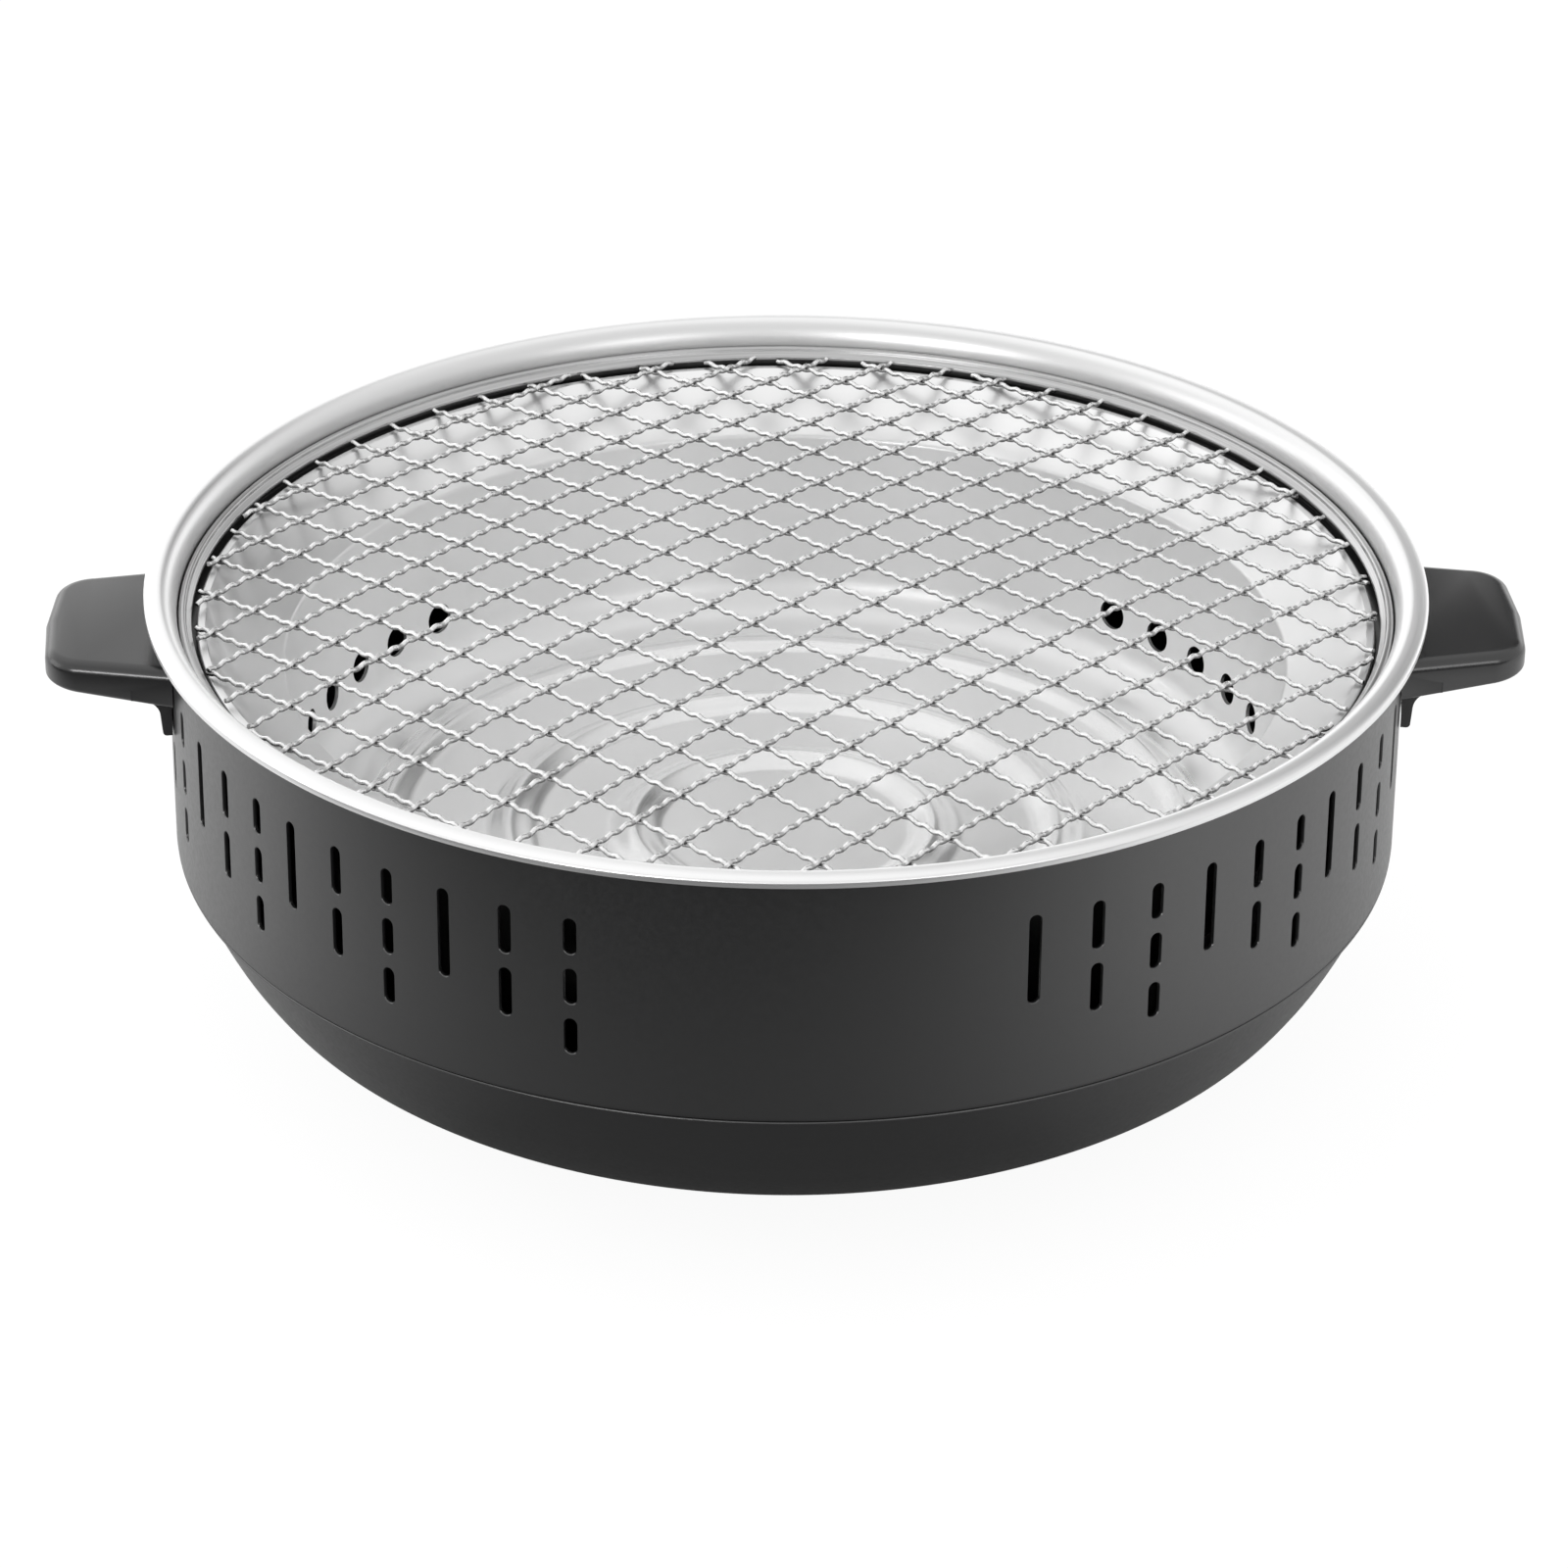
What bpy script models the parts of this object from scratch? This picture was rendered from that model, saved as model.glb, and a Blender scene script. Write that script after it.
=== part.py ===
"""Round tabletop charcoal grill with a slotted steel body, a lift-out fire bowl and a wire mesh grate.

Metres, +Z up. The origin is on the table, under the middle of the grill. The handles lie along X, and the
front of the grill faces -Y.
"""

import math

import bmesh
import bpy
from mathutils import Matrix, Vector

# Shared by all pieces
sheet = 0.0010
gap = 0.0003
cut_overrun = 0.0020
round_steps = 48
small_steps = 8
merge_distance = 0.00001

# Feet and their fasteners
foot_height = 0.0060
foot_radius = 0.0090
foot_chamfer = 0.0010
foot_inset = 0.0140
foot_angles = (45, 135, 225, 315)
foot_recess_depth = 0.0034
foot_recess_clearance = 0.0008
screw_shank_radius = 0.0020
screw_head_radius = 0.0040
screw_head_height = 0.0024
screw_crown_share = 0.7
screw_end_length = 0.0012
nut_across_flats = 0.0070
nut_height = 0.0032

# Base bowl, from its flat bottom up to the seam under the body wall
base_flat_radius = 0.0990
base_depth = 0.0518
base_collar_height = 0.0090
# Each pair is a share of the radius from the flat to the collar, and a share of the depth
base_curve_shares = ((0.12, 0.03), (0.30, 0.10), (0.49, 0.22), (0.69, 0.38), (0.82, 0.57), (0.92, 0.78))

# Body wall and its slots
wall_outer_radius = 0.1594
wall_height = 0.0668
slot_width = 0.0033
slot_top_drop = 0.0161
slot_long = 0.0240
slot_middle = 0.0130
slot_short = 0.0096
slot_bridge = 0.0041
slot_end_steps = 3
# A column's kind is its number of slots, and the kinds follow each other round the wall
slot_kinds = 3
slot_column_pitch = 6.1
slot_columns = 6
slot_group_pitch = 35.9
slot_groups = 4
slot_front_gap = 40.6

# Rim ring, a rolled trim over the top of the wall
trim_sheet = 0.0007
rim_overhang = 0.0056
rim_leg_gap = 0.0009
rim_lip_height = 0.0026
rim_drop = 0.0067
rim_leg_length = 0.0040
# Each pair is a share of the way in from the outer edge, and a share of the lip height
rim_outer_shares = ((0.00, 0.46), (0.15, 0.85), (0.41, 1.00))
# Each pair is a share of the way in from the outer edge, and a share of the drop
rim_inner_shares = ((0.66, 0.04), (0.83, 0.18), (0.95, 0.51), (1.00, 1.00))

# Support ring, a channel inside the rim ring that carries the fire bowl
band_width = 0.0034
band_fall = 0.0024
bead_width = 0.0022
bead_height = 0.0010
bead_slope_share = 0.33
channel_height = 0.0073
ledge_bearing = 0.0023

# Fire bowl
bowl_clearance = 0.0012
bowl_hem_height = 0.0019
bowl_hem_radius = 0.0008
bowl_rim_width = 0.0025
bowl_flange_width = 0.0199
bowl_flange_fall = 0.0117
bowl_depth = 0.0659
bowl_wall_taper = 0.0030
bowl_corner_radius = 0.0130
bowl_corner_steps = 2
bowl_floor_dish = 0.0014
vent_radius = 0.00425
vent_height = 0.0189
vent_steps = 8
vents_in_group = 5
vent_pitch = 8.0
# One group of vents faces the front, and one more lies this far round on each side
vent_group_turn = 117.3

# Mesh grate, wires laid both ways and fused where they cross
wire_radius = 0.0008
wire_lap = 0.0007
mesh_pitch = 0.0150
mesh_clearance = 0.0012
mesh_rise = 0.0065
mesh_turn = 46.1
mesh_offset_u = 0.0056
mesh_offset_v = 0.0036
cells_per_wire_step = 4

# Handles and their fasteners
handle_reach = 0.0314
handle_base_width = 0.0630
handle_tip_width = 0.0520
handle_base_thickness = 0.0109
handle_tip_rise = 0.0036
handle_tip_bulge = 0.0010
handle_corner_radius = 0.0105
handle_corner_start = 5
handle_corner_end = 85
handle_corner_steps = 4
handle_root_angle = 17.1
handle_edge_radius = 0.0025
handle_edge_steps = 2
flange_width = 0.0540
flange_drop = 0.0090
flange_thickness = 0.0032
flange_foot_thickness = 0.0022
flange_fillet = 0.0036
flange_fillet_share = 0.33
flange_steps = 3
handle_screw_angle = 5.7
handle_screw_engagement = 0.0110
handle_screw_clearance = 0.0004
washer_radius = 0.0045
washer_height = 0.0010


def clear_scene():
    for item in list(bpy.data.objects):
        bpy.data.objects.remove(item, do_unlink=True)


def make_material(name, colour, roughness, metallic):
    material = bpy.data.materials.new(name)
    material.use_nodes = True
    shader = material.node_tree.nodes["Principled BSDF"]
    shader.inputs["Base Color"].default_value = (*colour, 1)
    shader.inputs["Roughness"].default_value = roughness
    shader.inputs["Metallic"].default_value = metallic
    return material


def place(name, mesh, material, matrix=None):
    piece = bpy.data.objects.new(name, mesh)
    bpy.context.scene.collection.objects.link(piece)
    if material is not None and not mesh.materials:
        mesh.materials.append(material)
    if matrix is not None:
        piece.matrix_world = matrix
    return piece


def hide_helper(piece):
    piece.hide_render = True
    piece.display_type = "WIRE"
    return piece


def add_boolean(piece, other, operation="DIFFERENCE"):
    modifier = piece.modifiers.new(operation.lower(), "BOOLEAN")
    modifier.operation = operation
    modifier.solver = "EXACT"
    modifier.object = other
    hide_helper(other)


def bake(piece):
    """The mesh of the piece with its modifiers applied. The piece itself is removed."""
    bpy.context.view_layer.update()
    graph = bpy.context.evaluated_depsgraph_get()
    mesh = bpy.data.meshes.new_from_object(piece.evaluated_get(graph))
    mesh.name = piece.name
    bpy.data.objects.remove(piece, do_unlink=True)
    return mesh


def smooth(mesh, sharp_angle=35):
    mesh.shade_smooth()
    mesh.set_sharp_from_angle(angle=math.radians(sharp_angle))


def signed_area(outline):
    closed = zip(outline, outline[1:] + outline[:1])
    return sum(a[0] * b[1] - b[0] * a[1] for a, b in closed) / 2


def offset_path(path, distance):
    """The path moved sideways by the distance, to the right of its direction, with mitred corners."""
    normals = []
    for a, b in zip(path, path[1:]):
        length = math.hypot(b[0] - a[0], b[1] - a[1])
        normals.append(((b[1] - a[1]) / length, -(b[0] - a[0]) / length))
    moved = []
    for index, point in enumerate(path):
        before = normals[max(index - 1, 0)]
        after = normals[min(index, len(normals) - 1)]
        share = 1 + before[0] * after[0] + before[1] * after[1]
        step = ((before[0] + after[0]) / share, (before[1] + after[1]) / share)
        moved.append((point[0] + distance * step[0], point[1] + distance * step[1]))
    return moved


def sheet_outline(path, thickness):
    """A metal sheet with the path as one face, and the other on its right, or on its left if below 0."""
    other = offset_path(path, thickness)
    if not path[-1][0]:
        other[-1] = (0, other[-1][1])
    return path + other[::-1]


def height_on(path, radius):
    """The height of a path at a radius, along the first stretch of it that spans the radius."""
    for a, b in zip(path, path[1:]):
        low, high = sorted((a[0], b[0]))
        if low <= radius <= high and low < high:
            return a[1] + (b[1] - a[1]) * (radius - a[0]) / (b[0] - a[0])
    return path[-1][1]


def turned(name, outline, steps):
    """A piece turned about Z from the (radius, height) points of its closed outline."""
    if signed_area(outline) > 0:
        outline = outline[::-1]
    pairs = [(index, (index + 1) % len(outline)) for index in range(len(outline))]
    edges = [(a, b) for a, b in pairs if outline[a][0] or outline[b][0]]
    mesh = bpy.data.meshes.new(name)
    mesh.from_pydata([(radius, 0, height) for radius, height in outline], edges, [])
    piece = place(name, mesh, None)
    screw = piece.modifiers.new("turn", "SCREW")
    screw.steps = steps
    screw.render_steps = steps
    screw.use_merge_vertices = True
    screw.merge_threshold = merge_distance
    return piece


def rod(name, radius, start, end, steps):
    """A plain round rod along Z."""
    return turned(name, [(0, end), (radius, end), (radius, start), (0, start)], steps)


def arc(centre, radius, start, end, steps):
    """Points on an arc, with its angles in degrees, ends included."""
    angles = [math.radians(start + (end - start) * index / steps) for index in range(steps + 1)]
    return [(centre[0] + radius * math.cos(a), centre[1] + radius * math.sin(a)) for a in angles]


def prism(bm, outline, matrix, low, high):
    """Adds a closed prism: the outline lies in the local XY plane, and the prism runs along local Z."""
    verts = [bm.verts.new(matrix @ Vector((x, y, low))) for x, y in outline]
    face = bm.faces.new(verts)
    made = bmesh.ops.extrude_face_region(bm, geom=[face])
    moved = [item for item in made["geom"] if isinstance(item, bmesh.types.BMVert)]
    shift = matrix.to_3x3() @ Vector((0, 0, high - low))
    bmesh.ops.translate(bm, verts=moved, vec=shift)


def finish_bmesh(bm, name):
    bmesh.ops.recalc_face_normals(bm, faces=bm.faces)
    mesh = bpy.data.meshes.new(name)
    bm.to_mesh(mesh)
    bm.free()
    return mesh


def radial_matrix(angle, radius, height):
    """Local Z points outwards along the radius, local X along the tangent and local Y up."""
    turn = Matrix.Rotation(math.radians(angle), 4, "Z")
    return turn @ Matrix.Translation((radius, 0, height)) @ Matrix(
        ((0, 0, 1, 0), (1, 0, 0, 0), (0, 1, 0, 0), (0, 0, 0, 1))
    )


def upright_matrix(angle, radius, height):
    turn = Matrix.Rotation(math.radians(angle), 4, "Z")
    return turn @ Matrix.Translation((radius, 0, height))


# Radii and heights that follow from the sizes above
wall_inner_radius = wall_outer_radius - sheet
wall_inner_flat = wall_inner_radius * math.cos(math.pi / round_steps)
base_collar_radius = wall_inner_radius - gap
groove_radius = wall_inner_radius - rim_leg_gap - trim_sheet
base_bottom_z = foot_height + gap
foot_circle_radius = base_flat_radius - foot_inset
seam_z = base_bottom_z + base_depth
wall_top_z = seam_z + wall_height
screw_hole_radius = screw_shank_radius + gap


def rim_path():
    """The rim ring's outer face, from its lip at height 0 over the crest to the foot of its inner leg."""
    outer = wall_outer_radius + rim_overhang
    inner = groove_radius
    width = outer - inner
    path = [(outer, 0)]
    path += [(outer - width * across, rim_lip_height * up) for across, up in rim_outer_shares]
    path += [(outer - width * across, rim_lip_height - rim_drop * down) for across, down in rim_inner_shares]
    path.append((inner, rim_lip_height - rim_drop - rim_leg_length))
    return path


def raised(path, height):
    return [(radius, z + height) for radius, z in path]


rim_underside = offset_path(rim_path(), -trim_sheet)
rim_seat = min(height_on(rim_underside, radius) for radius in (wall_inner_radius, wall_outer_radius))
lip_z = wall_top_z + gap - rim_seat
groove_z = lip_z + rim_lip_height - rim_drop
channel_radius = groove_radius - gap
opening_radius = channel_radius - band_width
ledge_z = groove_z - channel_height
bowl_rim_radius = opening_radius - bowl_clearance
bowl_rim_z = ledge_z + sheet + gap + bowl_hem_height
bowl_floor_z = bowl_rim_z - bowl_depth
bowl_throat_radius = bowl_rim_radius - bowl_rim_width - bowl_flange_width
bowl_foot_radius = bowl_throat_radius - bowl_wall_taper
handle_mid_z = ledge_z - washer_radius - handle_screw_clearance
handle_top_z = handle_mid_z + handle_base_thickness / 2
handle_bottom_z = handle_mid_z - handle_base_thickness / 2
seat_radius = wall_outer_radius + gap


def slot_columns_of_side():
    """(angle from the front, kind) for each column of slots on one side, front to back."""
    columns = []
    for group in range(slot_groups):
        for column in range(slot_columns):
            angle = slot_front_gap / 2 + group * slot_group_pitch + column * slot_column_pitch
            columns.append((angle, column % slot_kinds + 1))
    return columns


def slot_outline(top, length):
    """A slot with round ends, in the local plane of its column."""
    half = slot_width / 2
    upper = arc((0, top - half), half, 0, 180, slot_end_steps)
    lower = arc((0, top - length + half), half, 180, 360, slot_end_steps)
    return upper + lower


def slot_cutter():
    lengths = {1: slot_long, 2: slot_middle, 3: slot_short}
    low = wall_inner_flat - cut_overrun
    high = wall_outer_radius + cut_overrun
    bm = bmesh.new()
    for side in (1, -1):
        for angle, kind in slot_columns_of_side():
            count = kind if side > 0 else slot_kinds + 1 - kind
            matrix = radial_matrix(side * angle - 90, 0, 0)
            for index in range(count):
                top = wall_top_z - slot_top_drop - index * (lengths[count] + slot_bridge)
                prism(bm, slot_outline(top, lengths[count]), matrix, low, high)
    return place("slot_cutter", finish_bmesh(bm, "slot_cutter"), None)


def rod_cutter(name, places, radius, low, high, steps):
    """Several round rods in one cutter, each along local Z of its own matrix."""
    bm = bmesh.new()
    for matrix in places:
        prism(bm, arc((0, 0), radius, 0, 360, steps)[:-1], matrix, low, high)
    return place(name, finish_bmesh(bm, name), None)


def handle_screw_places(side_angle, radius):
    return [
        radial_matrix(side_angle + turn, radius, handle_mid_z)
        for turn in (-handle_screw_angle, handle_screw_angle)
    ]


def make_shell_wall(material):
    outline = [
        (wall_outer_radius, wall_top_z),
        (wall_outer_radius, seam_z),
        (wall_inner_radius, seam_z),
        (wall_inner_radius, wall_top_z),
    ]
    wall = turned("shell_wall", outline, round_steps)
    wall.data.materials.append(material)
    add_boolean(wall, slot_cutter())
    places = handle_screw_places(0, 0) + handle_screw_places(180, 0)
    low = wall_inner_flat - cut_overrun
    high = wall_outer_radius + cut_overrun
    add_boolean(wall, rod_cutter("wall_hole_cutter", places, screw_hole_radius, low, high, small_steps))


def make_base_bowl(material):
    width = base_collar_radius - base_flat_radius
    path = [(base_collar_radius, seam_z + base_collar_height), (base_collar_radius, seam_z)]
    path += [
        (base_flat_radius + width * across, base_bottom_z + base_depth * up)
        for across, up in reversed(base_curve_shares)
    ]
    path += [(base_flat_radius, base_bottom_z), (0, base_bottom_z)]
    base = turned("base_bowl", sheet_outline(path, sheet), round_steps)
    base.data.materials.append(material)
    places = [upright_matrix(angle, foot_circle_radius, base_bottom_z) for angle in foot_angles]
    low, high = -cut_overrun, sheet + cut_overrun
    add_boolean(base, rod_cutter("base_hole_cutter", places, screw_hole_radius, low, high, small_steps))


def make_rim_ring(material):
    outline = sheet_outline(raised(rim_path(), lip_z), -trim_sheet)
    turned("rim_ring", outline, round_steps).data.materials.append(material)


def make_support_ring(material):
    bead_radius = channel_radius - bead_width
    bead_slope = bead_width * bead_slope_share
    path = [
        (opening_radius, groove_z - band_fall),
        (bead_radius, groove_z - bead_height),
        (bead_radius + bead_slope, groove_z),
        (channel_radius - bead_slope, groove_z),
        (channel_radius, groove_z - bead_height / 2),
        (channel_radius, ledge_z),
        (bowl_rim_radius - ledge_bearing, ledge_z),
    ]
    turned("support_ring", sheet_outline(path, sheet), round_steps).data.materials.append(material)


def bowl_path():
    """The inner face of the fire bowl, from the foot of its hem up over the rim and down to the middle."""
    rim_inner = bowl_rim_radius - bowl_rim_width
    hem_bottom = bowl_rim_z - bowl_hem_height
    flange_end_z = bowl_rim_z - bowl_flange_fall
    floor_edge_z = bowl_floor_z + bowl_floor_dish
    corner = (bowl_foot_radius - bowl_corner_radius, floor_edge_z + bowl_corner_radius)
    path = [
        (bowl_rim_radius, hem_bottom),
        (bowl_rim_radius, bowl_rim_z - bowl_hem_radius),
        (bowl_rim_radius - bowl_hem_radius, bowl_rim_z),
        (rim_inner, bowl_rim_z),
        (bowl_throat_radius, flange_end_z),
    ]
    path += arc(corner, bowl_corner_radius, 0, -90, bowl_corner_steps)
    path.append((0, bowl_floor_z))
    return path


def vent_places():
    places = []
    for centre in (0, vent_group_turn, -vent_group_turn):
        for index in range(vents_in_group):
            turn = (index - (vents_in_group - 1) / 2) * vent_pitch
            places.append(radial_matrix(centre + turn - 90, 0, bowl_floor_z + vent_height))
    return places


def make_fire_bowl(material):
    bowl = turned("fire_bowl", sheet_outline(bowl_path(), -sheet), round_steps)
    bowl.data.materials.append(material)
    low = bowl_foot_radius - bowl_corner_radius
    high = bowl_throat_radius + sheet + cut_overrun
    add_boolean(bowl, rod_cutter("vent_cutter", vent_places(), vent_radius, low, high, vent_steps))


def wire_points(offset, radius, along_offset):
    """(distance along, height) of one wire's points. Between its ends they lie midway between crossings."""
    half = math.sqrt(radius**2 - offset**2)
    first = math.ceil((-half - along_offset) / mesh_pitch)
    inner = []
    distance = along_offset + (first + 1 / 2) * mesh_pitch
    while distance < half - mesh_pitch / 2:
        inner.append(distance)
        distance += cells_per_wire_step * mesh_pitch
    distances = [-half] + [item for item in inner if item > -half + mesh_pitch / 4] + [half]
    return [(item, mesh_rise * (1 - (item**2 + offset**2) / radius**2)) for item in distances]


def wire_offsets(radius, first_offset):
    """How far each wire lies from the middle. One shorter than a cell is left out."""
    count = math.floor((radius + first_offset) / mesh_pitch)
    offsets = [first_offset + mesh_pitch * index for index in range(-count - 1, count + 2)]
    return [item for item in offsets if abs(item) < radius and radius**2 - item**2 > (mesh_pitch / 2) ** 2]


def add_wire(bm, matrix, offset, points, base_z):
    """A wire of square section, stood on its edge, bent along its points."""
    rings = []
    section = ((0, wire_radius), (wire_radius, 0), (0, -wire_radius), (-wire_radius, 0))
    for distance, height in points:
        rings.append(
            [bm.verts.new(matrix @ Vector((distance, offset + y, base_z + height + z))) for y, z in section]
        )
    bm.faces.new(rings[0])
    bm.faces.new(rings[-1])
    for ring, following in zip(rings, rings[1:]):
        for index in range(len(section)):
            after = (index + 1) % len(section)
            bm.faces.new((ring[index], ring[after], following[after], following[index]))


def make_mesh_grate(material):
    radius = opening_radius - mesh_clearance
    lower_z = bowl_rim_z + gap + wire_radius
    upper_z = lower_z + 2 * wire_radius - wire_lap
    layers = []
    rows = (
        (mesh_turn, mesh_offset_u, mesh_offset_v, upper_z),
        (mesh_turn + 90, mesh_offset_v, -mesh_offset_u, lower_z),
    )
    for turn, along, across, height in rows:
        bm = bmesh.new()
        matrix = Matrix.Rotation(math.radians(turn), 4, "Z")
        for offset in wire_offsets(radius, across):
            add_wire(bm, matrix, offset, wire_points(offset, radius, along), height)
        layers.append(finish_bmesh(bm, "mesh_layer"))
    grate = place("mesh_grate", layers[0], material)
    add_boolean(grate, place("mesh_lower_layer", layers[1], None), "UNION")


def handle_outline():
    """The grip in plan, for the handle on +X. Its root runs in past the wall, where the seat is cut later."""
    tip = seat_radius + handle_reach
    root = seat_radius * math.cos(math.radians(handle_root_angle))
    half_tip = handle_tip_width / 2
    half_base = handle_base_width / 2
    centre = (tip - handle_tip_bulge - handle_corner_radius, half_tip - handle_corner_radius)
    upper = arc(centre, handle_corner_radius, handle_corner_start, handle_corner_end, handle_corner_steps)
    lower = [(x, -y) for x, y in reversed(upper)]
    return [(root, -half_base)] + lower + [(tip, 0)] + upper + [(root, half_base)]


def make_grip():
    outline = handle_outline()
    root, tip = outline[0][0], seat_radius + handle_reach
    bm = bmesh.new()
    prism(bm, outline, Matrix.Identity(4), handle_bottom_z, handle_top_z)
    middle = (handle_bottom_z + handle_top_z) / 2
    for vert in bm.verts:
        if vert.co.z < middle:
            vert.co.z += handle_tip_rise * max(vert.co.x - seat_radius, 0) / (tip - seat_radius)
    level = [edge for edge in bm.edges if (edge.verts[0].co.z > middle) == (edge.verts[1].co.z > middle)]
    rounded = [edge for edge in level if max(vert.co.x for vert in edge.verts) > root + gap]
    bmesh.ops.bevel(
        bm,
        geom=rounded,
        offset=handle_edge_radius,
        segments=handle_edge_steps,
        profile=0.5,
        affect="EDGES",
        clamp_overlap=True,
    )
    return place("grip", finish_bmesh(bm, "grip"), None)


def make_flange():
    """The mounting flange under the grip, bent round the wall, with a fillet up to the grip."""
    inner = seat_radius - cut_overrun
    outer = seat_radius + flange_thickness
    low = handle_bottom_z - flange_drop
    fillet_step = flange_fillet * flange_fillet_share
    outline = [
        (inner, low),
        (seat_radius + flange_foot_thickness, low),
        (outer, handle_bottom_z - flange_fillet),
        (outer + fillet_step, handle_bottom_z - fillet_step),
        (outer + flange_fillet, handle_bottom_z + handle_edge_radius),
        (outer + flange_fillet, handle_mid_z),
        (inner, handle_mid_z),
    ]
    half_angle = math.asin(flange_width / 2 / seat_radius)
    bm = bmesh.new()
    verts = [bm.verts.new((radius, 0, height)) for radius, height in outline]
    bmesh.ops.rotate(bm, verts=verts, cent=(0, 0, 0), matrix=Matrix.Rotation(-half_angle, 3, "Z"))
    face = bm.faces.new(verts)
    bmesh.ops.spin(
        bm,
        geom=[face, *face.edges, *face.verts],
        cent=(0, 0, 0),
        axis=(0, 0, 1),
        angle=2 * half_angle,
        steps=flange_steps,
    )
    return place("flange", finish_bmesh(bm, "flange"), None)


def handle_mesh():
    grip = make_grip()
    flange = make_flange()
    add_boolean(grip, flange, "UNION")
    bottom = handle_bottom_z - flange_drop - cut_overrun
    seat = rod("seat_cutter", seat_radius, bottom, handle_top_z + cut_overrun, round_steps)
    add_boolean(grip, seat)
    places = handle_screw_places(0, 0)
    low, high = wall_inner_flat, seat_radius + handle_screw_engagement + gap
    holes = rod_cutter("handle_hole_cutter", places, screw_hole_radius, low, high, small_steps)
    add_boolean(grip, holes)
    mesh = bake(grip)
    for helper in (flange, seat, holes):
        bpy.data.objects.remove(helper, do_unlink=True)
    return mesh


def screw_mesh(name, length):
    """A pan-head screw along Z: the head lies under height 0 and the shank runs up from it."""
    crown = screw_head_radius * screw_crown_share
    outline = [
        (0, length),
        (screw_shank_radius, length),
        (screw_shank_radius, 0),
        (screw_head_radius, 0),
        (screw_head_radius, -screw_head_height / 2),
        (crown, -screw_head_height),
        (0, -screw_head_height),
    ]
    return bake(turned(name, outline, small_steps))


def ring_mesh(name, outer, inner, height):
    outline = [(outer, height), (outer, 0), (inner, 0), (inner, height)]
    return bake(turned(name, outline, small_steps))


def nut_mesh():
    corner_radius = nut_across_flats / math.sqrt(3)
    bm = bmesh.new()
    prism(bm, arc((0, 0), corner_radius, 0, 360, 6)[:-1], Matrix.Identity(4), 0, nut_height)
    nut = place("nut", finish_bmesh(bm, "nut"), None)
    low, high = -cut_overrun, nut_height + cut_overrun
    bore = rod("nut_bore_cutter", screw_hole_radius, low, high, small_steps)
    add_boolean(nut, bore)
    mesh = bake(nut)
    bpy.data.objects.remove(bore, do_unlink=True)
    return mesh


def foot_mesh():
    recess_radius = screw_head_radius + foot_recess_clearance
    outline = [
        (foot_radius, foot_height),
        (foot_radius, foot_chamfer),
        (foot_radius - foot_chamfer, 0),
        (recess_radius, 0),
        (recess_radius, foot_recess_depth),
        (screw_hole_radius, foot_recess_depth),
        (screw_hole_radius, foot_height),
    ]
    return bake(turned("foot", outline, small_steps))


def make_handles(plastic, steel):
    mesh = handle_mesh()
    mesh.materials.clear()
    head_seat = wall_inner_flat - gap - washer_height - gap
    screw = screw_mesh("handle_screw", seat_radius + handle_screw_engagement - head_seat)
    washer = ring_mesh("handle_washer", washer_radius, screw_hole_radius, washer_height)
    for side, angle in (("right", 0), ("left", 180)):
        place(f"handle_{side}", mesh, plastic, Matrix.Rotation(math.radians(angle), 4, "Z"))
        washers = handle_screw_places(angle, head_seat + gap)
        for number, matrix in enumerate(handle_screw_places(angle, head_seat), start=1):
            place(f"handle_screw_{side}_{number}", screw, steel, matrix)
            place(f"handle_washer_{side}_{number}", washer, steel, washers[number - 1])


def make_feet(rubber, steel):
    foot, nut = foot_mesh(), nut_mesh()
    head_z = foot_recess_depth - gap
    nut_z = base_bottom_z + sheet + gap
    screw = screw_mesh("foot_screw", nut_z + nut_height + screw_end_length - head_z)
    for number, angle in enumerate(foot_angles, start=1):
        place(f"foot_{number}", foot, rubber, upright_matrix(angle, foot_circle_radius, 0))
        place(f"foot_screw_{number}", screw, steel, upright_matrix(angle, foot_circle_radius, head_z))
        place(f"foot_nut_{number}", nut, steel, upright_matrix(angle, foot_circle_radius, nut_z))


def main():
    clear_scene()
    black_paint = make_material("black_paint", (0.035, 0.036, 0.038), 0.42, 0.0)
    bright_steel = make_material("bright_steel", (0.78, 0.78, 0.77), 0.28, 1.0)
    bowl_steel = make_material("bowl_steel", (0.70, 0.70, 0.70), 0.35, 1.0)
    wire_steel = make_material("wire_steel", (0.80, 0.80, 0.80), 0.30, 1.0)
    black_plastic = make_material("black_plastic", (0.030, 0.030, 0.031), 0.45, 0.0)
    rubber = make_material("rubber", (0.020, 0.020, 0.020), 0.80, 0.0)
    zinc = make_material("zinc", (0.60, 0.61, 0.62), 0.38, 1.0)
    make_shell_wall(black_paint)
    make_base_bowl(black_paint)
    make_rim_ring(bright_steel)
    make_support_ring(bright_steel)
    make_fire_bowl(bowl_steel)
    make_mesh_grate(wire_steel)
    make_handles(black_plastic, zinc)
    make_feet(rubber, zinc)
    for mesh in bpy.data.meshes:
        if mesh.polygons:
            smooth(mesh)


main()
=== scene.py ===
import math
import random

import bmesh
import bpy
from mathutils import Matrix, Vector


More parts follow.
